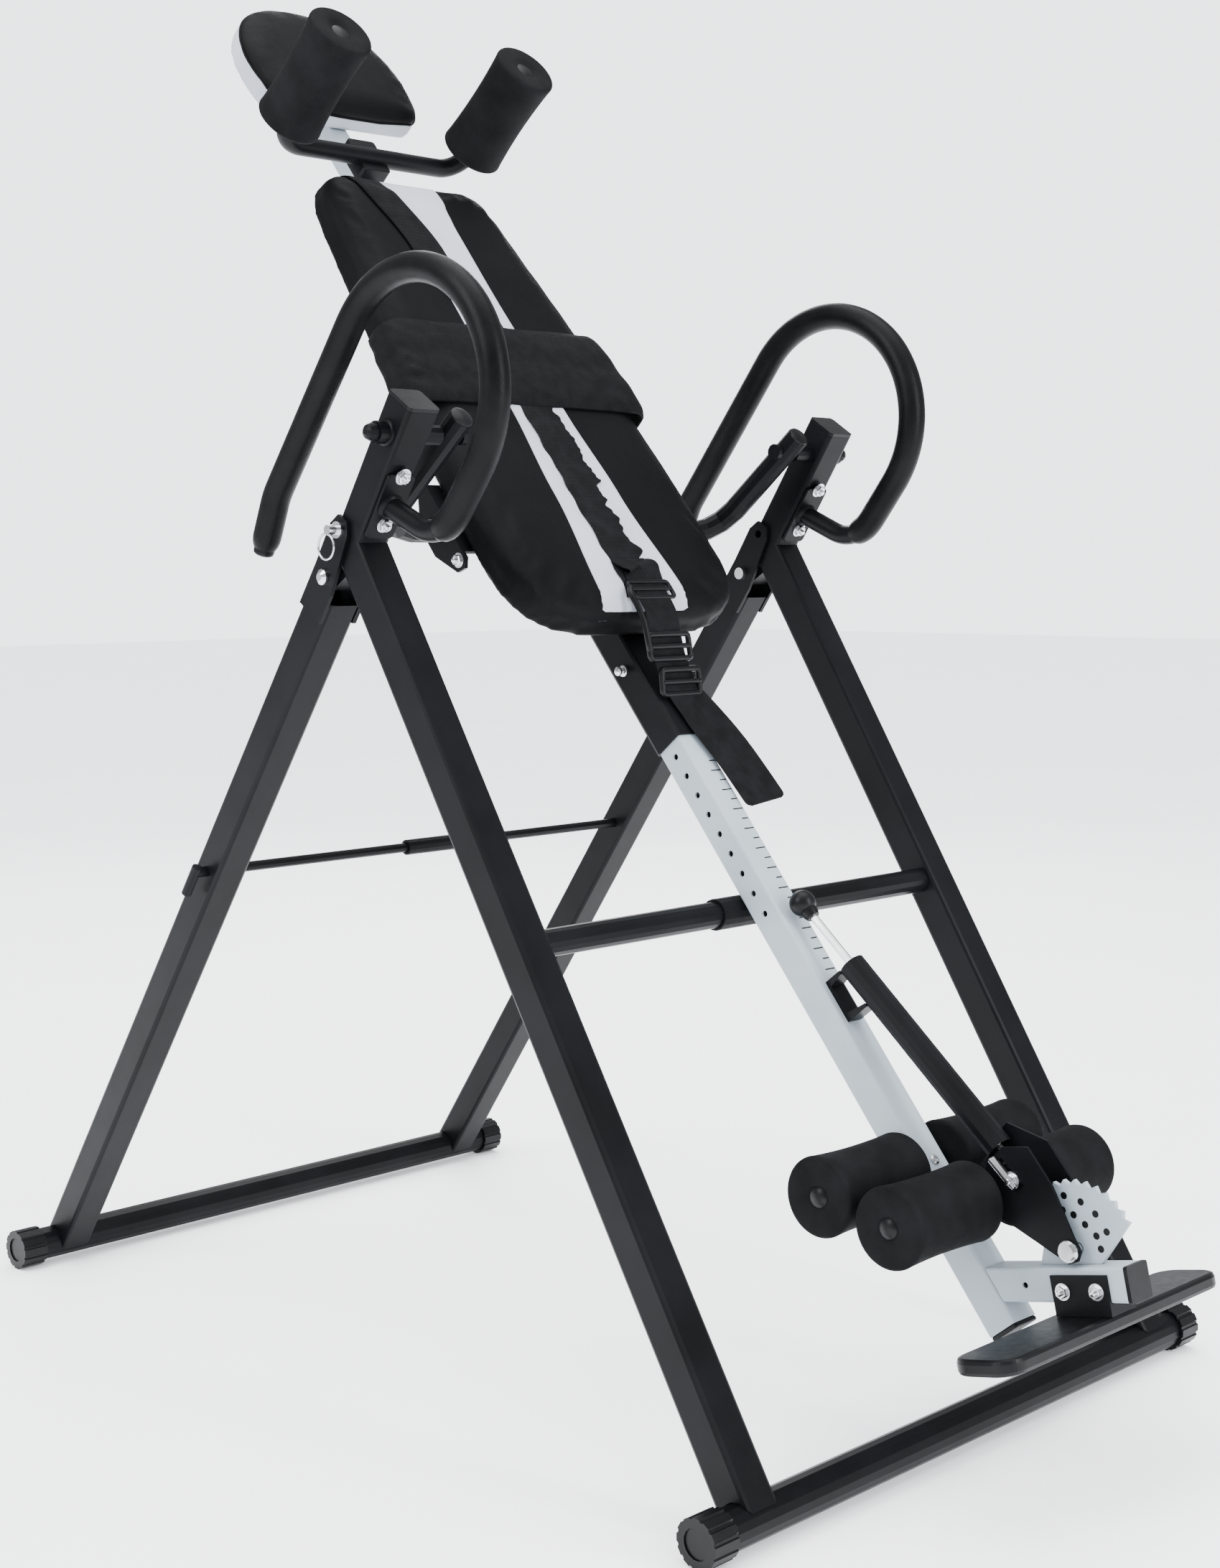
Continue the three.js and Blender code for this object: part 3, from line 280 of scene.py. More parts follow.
BLACK = painted("black_powder_coat", (0.0018, 0.002, 0.0024), (0.0035, 0.0039, 0.0046), 0.32, 0.44, 0.09)
SILVER = painted("pale_grey_paint", (0.23, 0.27, 0.3), (0.27, 0.31, 0.34), 0.3, 0.42, 0.3)
CHROME = metal("zinc_plate")
ROLLER_FOAM = foam("roller_foam", (0.0024, 0.0026, 0.003), (0.0046, 0.005, 0.0056), 0.7, 0.85)
GRIP_FOAM = foam("grip_foam", (0.0018, 0.002, 0.0022), (0.0034, 0.0036, 0.004), 0.3, 0.42)
PLASTIC = plastic("moulded_plastic")
VINYL = leatherette("black_vinyl", (0.0011, 0.0012, 0.0015), (0.0022, 0.0024, 0.0029), 0.5, 0.64)
PALE_VINYL = leatherette("pale_vinyl", (0.28, 0.3, 0.34), (0.36, 0.38, 0.42), 0.45, 0.6)
PAD_CLOTH = cloth("pad_cloth", (0.0018, 0.0019, 0.0023), (0.0034, 0.0036, 0.0042), 0.0011)
WEBBING = cloth("webbing", (0.002, 0.0022, 0.0026), (0.004, 0.0043, 0.005), 0.0016)
WOOD = timber("plywood")
RUBBER = foam("rubber", (0.002, 0.0022, 0.0025), (0.0036, 0.0039, 0.0044), 0.5, 0.66)
# Dark plastic for the printed length marks, and also painted shade: the discs that fill the toothed
# plate's holes.
MARK_INK_AND_HOLE_SHADE = plastic("mark_ink_and_hole_shade")
FINISH = {
    "black_paint": BLACK,
    "silver_paint": SILVER,
    "chrome": CHROME,
    "foam": ROLLER_FOAM,
    "plastic": PLASTIC,
    "leatherette": VINYL,
    "webbing": WEBBING,
    "wood": WOOD,
    "rubber": RUBBER,
}


# ---- mesh helpers -------------------------------------------------------------------------
def piece(name, vertices, faces, material, body, slot, smooth_angle=35):
    """A mesh object with a material, which rides a body. The slot argument is not used."""
    mesh = bpy.data.meshes.new(name)
    mesh.from_pydata([tuple(v) for v in vertices], [], faces)
    cleaned = bmesh.new()
    cleaned.from_mesh(mesh)
    bmesh.ops.remove_doubles(cleaned, verts=cleaned.verts, dist=MERGE_DISTANCE)
    bmesh.ops.recalc_face_normals(cleaned, faces=cleaned.faces)
    cleaned.to_mesh(mesh)
    cleaned.free()
    mesh.materials.append(material)
    soften(mesh, smooth_angle)
    obj = bpy.data.objects.new(name, mesh)
    bpy.context.scene.collection.objects.link(obj)
    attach(obj, body)
    return obj


def soften(mesh, angle):
    mesh.polygons.foreach_set("use_smooth", [True] * len(mesh.polygons))
    mesh.set_sharp_from_angle(angle=math.radians(angle))


def ring_faces(rings, around, closed_ends=True):
    """Faces between rings of vertices that follow one another."""
    faces = []
    for i in range(rings - 1):
        for j in range(around):
            k = (j + 1) % around
            faces.append((i * around + j, i * around + k, (i + 1) * around + k, (i + 1) * around + j))
    if closed_ends:
        faces.append(tuple(range(around)))
        faces.append(tuple((rings - 1) * around + j for j in range(around)))
    return faces


def sweep(path, radius, sides=24):
    """Vertices and faces of a tube along a path. radius is one number or one for each point."""
    radii = radius if isinstance(radius, (list, tuple)) else [radius] * len(path)
    vertices = []
    tangent = (path[1] - path[0]).normalized()
    side = tangent.orthogonal().normalized()
    if abs(tangent.y) < 0.9:
        side = (LEFTWARD - tangent * tangent.y).normalized()
    for i, point in enumerate(path):
        before, after = path[max(i - 1, 0)], path[min(i + 1, len(path) - 1)]
        turned = (after - before).normalized()
        side = tangent.rotation_difference(turned) @ side
        tangent = turned
        other = tangent.cross(side)
        for k in range(sides):
            angle = 2 * math.pi * k / sides
            vertices.append(point + (side * math.cos(angle) + other * math.sin(angle)) * radii[i])
    return vertices, ring_faces(len(path), sides)


def closed_tube(path, radius, sides):
    """A tube along a path that ends where it starts."""
    vertices, _ = sweep(path, radius, sides)
    return vertices, ring_faces(len(path), sides, closed_ends=False)


def rounded_path(corners, spacing=0.006):
    """Points along straight runs whose corners are arcs. Each corner is a place and a radius."""
    points = [Vector(corners[0][0])]
    for (before, _), (corner, radius), (after, _) in zip(corners, corners[1:], corners[2:]):
        back = (Vector(before) - corner).normalized()
        ahead = (Vector(after) - corner).normalized()
        half = back.angle(ahead) / 2
        reach = radius / math.tan(half)
        middle = corner + (back + ahead).normalized() * (radius / math.sin(half))
        start, end = corner + back * reach - middle, corner + ahead * reach - middle
        turn = start.angle(end)
        count = max(3, int(turn * radius / spacing))
        axis = start.cross(end).normalized()
        for i in range(count + 1):
            points.append(middle + Matrix.Rotation(turn * i / count, 3, axis) @ start)
    points.append(Vector(corners[-1][0]))
    kept = points[:1]
    for point in points[1:]:
        if (point - kept[-1]).length > TINY:
            kept.append(point)
    return kept


def part_of_path(path, start, end, count):
    """Evenly spaced points between two fractions of a path's length."""
    lengths = [0.0]
    for a, b in zip(path, path[1:]):
        lengths.append(lengths[-1] + (b - a).length)
    points = []
    i = 0
    for k in range(count + 1):
        target = lengths[-1] * (start + (end - start) * k / count)
        while i < len(path) - 2 and lengths[i + 1] < target:
            i += 1
        share = (target - lengths[i]) / (lengths[i + 1] - lengths[i])
        points.append(path[i].lerp(path[i + 1], share))
    return points


def lathe(profile, place, axis, sides=40):
    """Vertices and faces of a closed turned shape. The profile is a list of (radius, along)."""
    axis = Vector(axis).normalized()
    side = axis.orthogonal().normalized()
    other = axis.cross(side)
    vertices = []
    for radius, along in profile:
        for k in range(sides):
            angle = 2 * math.pi * k / sides
            out = side * math.cos(angle) + other * math.sin(angle)
            vertices.append(Vector(place) + axis * along + out * max(radius, TINY))
    return vertices, ring_faces(len(profile), sides)


def joined(*solids):
    """Several (vertices, faces) pairs as one."""
    vertices, faces = [], []
    for more_vertices, more_faces in solids:
        start = len(vertices)
        vertices += more_vertices
        faces += [tuple(i + start for i in face) for face in more_faces]
    return vertices, faces


def plate(outline, axis_u, axis_v, origin, thickness, bevel=0.0008):
    """A flat plate with bevelled edges. The outline's points are in u and v, and it is
    thickened along u x v, half each way."""
    normal = axis_u.cross(axis_v).normalized()
    middle = Vector((sum(p[0] for p in outline), sum(p[1] for p in outline))) / len(outline)
    layers = [(-0.5, 1), (-0.5, 0), (0.5, 0), (0.5, 1)]
    vertices = []
    for side, inset in layers:
        lift = side * (thickness - (0 if inset else 2 * bevel))
        for u, v in outline:
            away = Vector((u, v)) - middle
            length = away.length
            away *= (length - bevel * inset) / length
            point = middle + away
            vertices.append(origin + axis_u * point.x + axis_v * point.y + normal * lift)
    return vertices, ring_faces(4, len(outline))


def rounded_rectangle(width, height, radius):
    outline = []
    steps = 6
    quarters = ((1, 1, 0), (-1, 1, 90), (-1, -1, 180), (1, -1, 270))
    for sign_u, sign_v, first in quarters:
        for i in range(steps + 1):
            angle = math.radians(first + 90 * i / steps)
            outline.append((
                sign_u * (width / 2 - radius) + radius * math.cos(angle),
                sign_v * (height / 2 - radius) + radius * math.sin(angle),
            ))
    return outline


# ---- frame details ------------------------------------------------------------------------
def finish_frame():
    """Gives every CAD node the surface of its record slot."""
    for entry in frame["record"]["subparts"]:
        node = nodes[entry["node"]]
        node.data.materials.clear()
        node.data.materials.append(FINISH[entry["material_slot"]])
        soften(node.data, 32)


HANDLE_R = 0.011
GRIP_R = 0.0148
GRIP_FROM, GRIP_TO = 0.1, 0.995  # as shares of the tube's length
HANDLE_U_R = 0.119
HANDLE_LEAN = math.radians(38)
HANDLE_MIDDLE_X, HANDLE_MIDDLE_Z = 0.0166, 0.036
FLANGE_DROP, FLANGE_OUT = 0.069, 0.0193
FRONT_RUN, REAR_RUN, END_RUN = 0.085, 0.207, 0.062
END_WAY = Vector((-0.396, 0, -0.918))
SLEEVE_END_Y = 0.3275
PULL_RING_Y = 0.3445
PULL_RING_R = 0.0125
PULL_RING_WIRE_R = 0.0011


def handle_path(y):
    """The same bends as the CAD handlebar, from the flange to the open end."""
    middle = PIVOT + Vector((HANDLE_MIDDLE_X, y, HANDLE_MIDDLE_Z))
    along = Vector((math.sin(HANDLE_LEAN), 0, math.cos(HANDLE_LEAN)))
    outward = Vector((math.cos(HANDLE_LEAN), 0, -math.sin(HANDLE_LEAN)))
    seat = PIVOT + Vector((0, y, 0)) - UPRIGHT * FLANGE_DROP + UPRIGHT_FRONT * FLANGE_OUT
    front, rear = middle + outward * HANDLE_U_R, middle - outward * HANDLE_U_R
    corner = front - along * FRONT_RUN
    kink = rear - along * REAR_RUN
    end = kink + END_WAY * END_RUN
    rise = along * HANDLE_U_R
    path = rounded_path([
        (seat + UPRIGHT_FRONT * 0.001, 0),
        (corner, 0.045),
        (front + rise, HANDLE_U_R - TINY),
        (rear + rise, HANDLE_U_R - TINY),
        (kink, 0.06),
        (end, 0),
    ])
    return path, seat


def make_handlebar(name, hand):
    path, seat = handle_path(hand * FRAME_Y)
    tube = sweep(part_of_path(path, 0, 0.999, 150), HANDLE_R)
    flange_width, flange_height, flange_corner_r, flange_thickness = 0.034, 0.072, 0.005, 0.0036
    flange = plate(
        rounded_rectangle(flange_width, flange_height, flange_corner_r), LEFTWARD, UPRIGHT,
        seat + UPRIGHT_FRONT * 0.002, flange_thickness,
    )
    weld_profile = [(0.0105, 0.003), (0.0145, 0.0036), (0.0135, 0.0058), (0.0112, 0.0075)]
    weld = lathe(weld_profile, seat, UPRIGHT_FRONT)
    bar = piece(f"handlebar_tube_{name}", *joined(tube, flange, weld), BLACK, "front_frame", "black_paint")
    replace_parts(bar, f"handlebar_{name}")
    run = part_of_path(path, GRIP_FROM, GRIP_TO, 160)
    rounding = [0.0032, 0.0012, 0.00032]
    radii = [GRIP_R] * len(run)
    for i, less in enumerate(rounding):
        radii[i] -= less
        radii[-1 - i] -= less
    grip = piece(f"grip_{name}", *sweep(run, radii, 28), GRIP_FOAM, "front_frame", "foam")
    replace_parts(grip, f"handlebar_grip_{name}")
    last = (path[-1] - path[-2]).normalized()
    plug = lathe([(0, 0.004), (0.008, 0.0036), (0.0105, 0.0018), (0.0105, -0.001)], path[-1], last, 28)
    piece(f"handle_plug_{name}", *plug, PLASTIC, "front_frame", "plastic")
    for label, along in (("low", -0.019), ("high", 0.035)):
        place = seat + UPRIGHT * along + UPRIGHT_FRONT * 0.0038
        bolt(f"flange_bolt_{label}_{name}", place, UPRIGHT_FRONT, 0.0058, "front_frame")
    sleeve = PIVOT + Vector((0, hand * SLEEVE_END_Y, 0))
    seam = lathe([(0.0105, 0), (0.0135, 0), (0.0128, 0.0018), (0.0105, 0.003)], sleeve, (0, hand, 0))
    piece(f"sleeve_weld_{name}", *seam, BLACK, "front_frame", "black_paint")


def bolt(name, place, axis, size, body):
    """A washer, a hexagon nut and a rounded thread end."""
    washer = lathe([(0, 0), (size * 1.5, 0), (size * 1.5, 0.001), (0, 0.0012)], place, axis, 28)
    nut = lathe([(0, 0.001), (size * 1.12, 0.0012), (size * 1.16, 0.002), (size * 1.16, 0.0044),
                 (size * 1.06, 0.0052), (0, 0.0052)], place, axis, 6)
    end = lathe([
        (0, 0.005), (size * 0.55, 0.005), (size * 0.55, 0.0075), (size * 0.4, 0.0086), (0, 0.009),
    ], place, axis, 18)
    piece(name, *joined(washer, nut, end), CHROME, body, "chrome", 30)


def make_frame_details():
    for name, hand in SIDES.items():
        make_handlebar(name, hand)
        pin = centre(f"lock_pin_{name}")
        ring_middle = Vector((pin.x - 0.003, hand * PULL_RING_Y, pin.z - 0.0165))
        turn = [ring_middle + Vector((math.cos(a), 0, math.sin(a))) * PULL_RING_R
                for a in (2 * math.pi * i / 40 for i in range(40))]
        ring = closed_tube(turn + turn[:1], PULL_RING_WIRE_R, 10)
        piece(f"pull_ring_{name}", *ring, CHROME, f"{name}_lock_pin", "chrome", 60)


# ---- foam rollers -------------------------------------------------------------------------
def roller_shape(inner, outer, radius, waist, bore, place, axis):
    """A slightly waisted foam with rounded edges and nearly flat ends."""
    soft = 0.0045
    profile = [(bore, inner + 0.0008), (radius - soft - 0.001, inner)]
    steps = 22
    edge_steps = 4
    half = (outer - inner) / 2
    middle = (outer + inner) / 2
    for i in range(edge_steps + 1):
        angle = math.pi / 2 * (1 - i / edge_steps)
        profile.append((radius - soft + soft * math.cos(angle), inner + soft - soft * math.sin(angle)))
    for i in range(1, steps):
        along = inner + soft + (outer - inner - 2 * soft) * i / steps
        share = (along - middle) / half
        profile.append((waist + (radius - waist) * share ** 2 * 1.06, along))
    for i in range(edge_steps + 1):
        angle = math.pi / 2 * i / edge_steps
        profile.append((radius - soft + soft * math.cos(angle), outer - soft + soft * math.sin(angle)))
    profile += [(bore + 0.008, outer - 0.0002), (bore + 0.003, outer - 0.0015), (bore, outer - 0.003)]
    return lathe(profile, place, axis, 56)


def make_roller(node, body):
    low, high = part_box(node)
    middle = (low + high) / 2
    hand = 1 if middle.y > 0 else -1
    radius = (high.z - low.z) / 2
    ends = (min(abs(low.y), abs(high.y)), max(abs(low.y), abs(high.y)))
    place = Vector((middle.x, 0, middle.z))
    waist = radius - 0.0022
    bore = 0.007
    shape = roller_shape(*ends, radius, waist, bore, place, (0, hand, 0))
    roller = piece(f"{node}_foam", *shape, ROLLER_FOAM, body, "foam")
    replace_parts(roller, node)
    end = ends[1] - 0.004
    cap = lathe([
        (0, end + 0.0062), (0.005, end + 0.0058), (0.0088, end + 0.0042), (0.0108, end + 0.0015),
        (0.011, end - 0.002),
    ], place, (0, hand, 0), 36)
    piece(f"{node}_plug", *cap, PLASTIC, body, "plastic")


def make_shoulder_set():
    s, bar_h, side_y = 0.547, -0.108, 0.136
    bar_r, bend_r = 0.011, 0.034
    foam_start, foam_end, foam_r, foam_waist, foam_bore = -0.078, 0.054, 0.038, 0.0352, 0.0118
    front = 0.05
    path = rounded_path([
        (on_bed(front, -side_y, s), 0),
        (on_bed(bar_h, -side_y, s), bend_r),
        (on_bed(bar_h, side_y, s), bend_r),
        (on_bed(front, side_y, s), 0),
    ], 0.004)
    tube = sweep(path, bar_r)
    post_face = BOOM_H + 0.0128
    saddle = plate(
        rounded_rectangle(0.04, 0.052, 0.004), LEFTWARD, BED_UP,
        on_bed((post_face + bar_h) / 2, 0, s + 0.004), bar_h - post_face,
    )
    bar = piece("shoulder_rest_bar", *joined(tube, saddle), BLACK, "headrest", "black_paint")
    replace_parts(bar, "shoulder_bar")
    for name, hand in SIDES.items():
        origin = on_bed(0, hand * side_y, s)
        shape = roller_shape(foam_start, foam_end, foam_r, foam_waist, foam_bore, origin, BED_OUT)
        pad = piece(f"shoulder_pad_{name}", *shape, ROLLER_FOAM, "headrest", "foam")
        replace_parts(pad, f"shoulder_foam_{name}")
        plug = lathe([
            (0, 0.0525), (0.006, 0.0522), (0.0105, 0.051), (0.0117, 0.049), (0.0117, 0.046),
        ], origin, BED_OUT, 32)
        piece(f"shoulder_plug_{name}", *plug, PLASTIC, "headrest", "plastic")


# ---- soft pads ----------------------------------------------------------------------------
def apply_modifier(obj, modifier):
    bpy.context.view_layer.objects.active = obj
    bpy.ops.object.modifier_apply(modifier=modifier.name)


def thickened(obj, thickness):
    """Gives an open sheet of faces a thickness, half on each side."""
    modifier = obj.modifiers.new("thicken", "SOLIDIFY")
    modifier.thickness = thickness
    modifier.offset = 0
    apply_modifier(obj, modifier)


CLOTH_FRAMES = 20


def inflate(obj, is_fixed, cap, voxel):
    """Blows the cover up a little as filled cloth, and keeps each point within the cap."""
    remesh = obj.modifiers.new("remesh", "REMESH")
    remesh.mode = "VOXEL"
    remesh.voxel_size = voxel
    apply_modifier(obj, remesh)
    smooth = obj.modifiers.new("smooth", "SMOOTH")
    smooth.iterations = 3
    apply_modifier(obj, smooth)
    rest = [v.co.copy() for v in obj.data.vertices]
    pin = obj.vertex_groups.new(name="pin")
    pin.add([i for i, co in enumerate(rest) if is_fixed(co)], 1.0, "REPLACE")
    cloth_modifier = obj.modifiers.new("cover", "CLOTH")
    settings = cloth_modifier.settings
    settings.quality = 4
    settings.mass = 0.3
    settings.tension_stiffness = settings.compression_stiffness = 25
    settings.bending_stiffness = 2
    settings.use_pressure = True
    settings.uniform_pressure_force = 4.0
    settings.effector_weights.gravity = 0
    settings.vertex_group_mass = "pin"
    scene = bpy.context.scene
    for step in range(1, CLOTH_FRAMES + 1):
        scene.frame_set(step)
    blown = obj.evaluated_get(bpy.context.evaluated_depsgraph_get())
    moved = [v.co.copy() for v in blown.data.vertices]
    obj.modifiers.remove(cloth_modifier)
    scene.frame_set(1)
    for vertex, start, end in zip(obj.data.vertices, rest, moved):
        shift = end - start
        if shift.length > cap:
            shift *= cap / shift.length
        vertex.co = start + shift
    obj.vertex_groups.remove(pin)
    subdivide = obj.modifiers.new("finer", "SUBSURF")
    subdivide.levels = 1
    apply_modifier(obj, subdivide)
    soften(obj.data, 180)


def bezier(p0, p1, p2, p3, count):
    points = []
    for i in range(count):
        t = i / count
        a, b = 1 - t, t
        points.append(tuple(
            a ** 3 * u + 3 * a * a * b * v + 3 * a * b * b * w + b ** 3 * x
            for u, v, w, x in zip(p0, p1, p2, p3)
        ))
    return points


def mirrored(half):
    """A closed outline from its half on the user's left, which runs from the bottom to the top."""
    return half + [(-y, s) for y, s in reversed(half) if abs(y) > 1e-6]


def backrest_outline():
    bottom, top = -0.166, 0.493
    half = [(0.012, bottom), (0.036, bottom)]
    half += bezier((0.06, bottom), (0.118, bottom), (0.168, bottom + 0.016), (0.171, -0.08), 14)
    half += bezier((0.171, -0.08), (0.174, -0.02), (0.166, 0.13), (0.154, 0.26), 16)
    half += bezier((0.154, 0.26), (0.149, 0.31), (0.142, 0.36), (0.137, 0.405), 8)
    half += bezier((0.137, 0.405), (0.133, 0.452), (0.122, top), (0.082, top), 10)
    half += [(0.082, top), (0.05, top), (0.02, top)]
    return mirrored(half)


def headrest_outline():
    bottom, top = 0.612, 0.790
    half = [(0.012, bottom), (0.05, bottom)]
    half += bezier((0.088, bottom), (0.112, bottom), (0.118, 0.64), (0.119, 0.68), 9)
    half += bezier((0.119, 0.68), (0.118, 0.735), (0.088, top), (0, top), 18)
    return mirrored(half + [(0, top)])


def inset_outline(outline, distance):
    """Moves each point of the outline inward, square to its neighbours."""
    moved = []
    count = len(outline)
    for i, (y, s) in enumerate(outline):
        before, after = outline[i - 1], outline[(i + 1) % count]
        along = Vector((after[0] - before[0], after[1] - before[1])).normalized()
        moved.append((y - along.y * distance, s + along.x * distance))
    return moved


def pad_shape(outline, layers):
    """A closed pad from one outline and its (h, inset) layers, both in bed coordinates."""
    vertices = []
    for h, inset in layers:
        vertices += [on_bed(h, y, s) for y, s in inset_outline(outline, inset)]
    return vertices, ring_faces(len(layers), len(outline))


def bed_height(point):
    """A point's h in the bed's own coordinates."""
    return (point - PIVOT).dot(BED_OUT)


def surface_finder(obj):
    """Returns a function that gives the front surface's h at a y and s of the bed."""
    tree = BVHTree.FromPolygons(
        [v.co.copy() for v in obj.data.vertices], [tuple(p.vertices) for p in obj.data.polygons]
    )

    def find(y, s, missing=BOARD_BACK):
        hit = tree.ray_cast(on_bed(0.1, y, s), -BED_OUT)[0]
        return bed_height(hit) if hit else missing

    return find


def sewn_panel(name, rows, find, material, slot, lift=0.0008, columns=14, sunk=0.0015):
    """A thin panel sewn on a pad. Each row is (s, lowest y, highest y), and its edges sink in."""
    vertices = []
    for r, (s, y0, y1) in enumerate(rows):
        for c in range(columns + 1):
            y = y0 + (y1 - y0) * c / columns
            edge = c in (0, columns) or r in (0, len(rows) - 1)
            h = find(y, s) + (-sunk if edge else lift)
            vertices.append(on_bed(h, y, s))
    across = columns + 1
    faces = [
        (r * across + c, r * across + c + 1, (r + 1) * across + c + 1, (r + 1) * across + c)
        for r in range(len(rows) - 1)
        for c in range(columns)
    ]
    thickened(piece(name, vertices, faces, material, "bed", slot, 180), 0.001)


def interpolated(table, x):
    """The value at x of a short table of (x, value), eased between its entries."""
    table = sorted(table)
    if x <= table[0][0]:
        return table[0][1]
    for (x0, v0), (x1, v1) in zip(table, table[1:]):
        if x <= x1:
            t = (x - x0) / (x1 - x0)
            return v0 + (v1 - v0) * t * t * (3 - 2 * t)
    return table[-1][1]


PANEL_BOTTOM, PANEL_TOP = -0.158, 0.4865
PANEL_HALF = [(-0.166, 0.064), (-0.15, 0.068), (0.0, 0.052), (0.122, 0.043), (0.3, 0.038),
              (0.4, 0.039), (0.43, 0.0415), (0.45, 0.046), (0.47, 0.053), (0.49, 0.0635)]
UPPER_STRAP_Y = [(0.2, -0.006), (0.25, -0.01), (0.357, -0.033), (0.487, -0.062)]


def make_backrest():
    layers = [
        (-0.1208, 0.0065), (-0.1185, 0.0035), (-0.112, 0.0025), (-0.100, 0.002), (-0.0925, 0.0035),
        (-0.0875, 0.007), (-0.0842, 0.0125), (-0.0828, 0.020),
    ]
    glued_below, cap, voxel = -0.1165, 0.0045, 0.006
    shape = pad_shape(backrest_outline(), layers)
    cushion = piece("backrest_pad", *shape, VINYL, "bed", "leatherette", 180)
    inflate(cushion, lambda co: bed_height(co) < glued_below, cap, voxel)
    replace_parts(cushion, "backrest_cushion")
    find = surface_finder(cushion)
    rows = []
    count = 90
    for i in range(count + 1):
        s = PANEL_BOTTOM + (PANEL_TOP - PANEL_BOTTOM) * i / count
        half = interpolated(PANEL_HALF, s)
        rows.append((s, -half - 0.004, half - 0.004))
    sewn_panel("backrest_panel", rows, find, PALE_VINYL, "leatherette")
    return find


def make_headrest():
    outline = headrest_outline()
    layers = [
        (-0.1285, 0.006), (-0.1265, 0.003), (-0.12, 0.0018), (-0.104, 0.0018), (-0.0985, 0.003),
        (-0.0958, 0.0065), (-0.0945, 0.012),
    ]
    glued_below, cap, voxel = -0.1255, 0.0025, 0.0045
    pad = piece("headrest_pad", *pad_shape(outline, layers), PALE_VINYL, "headrest", "leatherette", 180)
    inflate(pad, lambda co: bed_height(co) < glued_below, cap, voxel)
    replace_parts(pad, "headrest_cushion")
    find = surface_finder(pad)
    middle_s = 0.70
    missing = -0.1
    rings = [1e-4, 0.2, 0.4, 0.6, 0.75, 0.87, 0.95, 0.985, 1.0]
    rim = inset_outline(outline, 0.0035)
    vertices = []
    for share in rings:
        for y, s in rim:
            place_y, place_s = y * share, middle_s + (s - middle_s) * share
            h = find(place_y, place_s, missing)
            vertices.append(on_bed(h + (0.0012 if share < 0.99 else -0.001), place_y, place_s))
    faces = ring_faces(len(rings), len(rim), closed_ends=False)
    face = piece("headrest_face", vertices, faces, VINYL, "headrest", "leatherette", 180)
    thickened(face, 0.0012)
    loop = [on_bed(find(y, s, missing) + 0.0004, y, s) for y, s in rim]
    piping = closed_tube(part_of_path(loop + loop[:1], 0, 1, 260), 0.0013, 8)
    piece("headrest_piping", *piping, VINYL, "headrest", "leatherette", 60)


# ---- lumbar pad ---------------------------------------------------------------------------
PAD_BOTTOM, PAD_TOP = 0.124, 0.242
PAD_GAP = 0.001
PAD_CORNER_R = 0.020
PAD_SIDE_BACK, PAD_SIDE_FRONT = -0.112, -0.090
PAD_SIDE_POINTS = 12
FOLD_PITCH = 0.021
QUILT_PITCH = 0.041


def lumbar_section(s, find):
    """Points round the cushion from its near side to its far side, as (h, y, outward h, y)."""
    half = interpolated([(0.05, 0.1685), (0.13, 0.1660), (0.26, 0.1545)], s) + PAD_GAP
    section = []
    depth = PAD_SIDE_FRONT - PAD_SIDE_BACK
    for i in range(PAD_SIDE_POINTS):
        section.append((PAD_SIDE_BACK + depth * i / (PAD_SIDE_POINTS - 1), -half, 0.0, -1.0))
    front = find(0, s) + PAD_GAP
    for i in range(1, PAD_SIDE_POINTS + 1):
        angle = math.pi / 2 * i / PAD_SIDE_POINTS
        section.append((
            PAD_SIDE_FRONT + (front - PAD_SIDE_FRONT) * math.sin(angle),
            -half + PAD_CORNER_R * (1 - math.cos(angle)),
            math.sin(angle), -math.cos(angle),
        ))
    count = 60
    for i in range(1, count):
        y = (-half + PAD_CORNER_R) + 2 * (half - PAD_CORNER_R) * i / count
        section.append((max(front, find(y, s) + PAD_GAP), y, 1.0, 0.0))
    mirror = [(h, -y, oh, -oy) for h, y, oh, oy in reversed(section[:2 * PAD_SIDE_POINTS])]
    return section + mirror


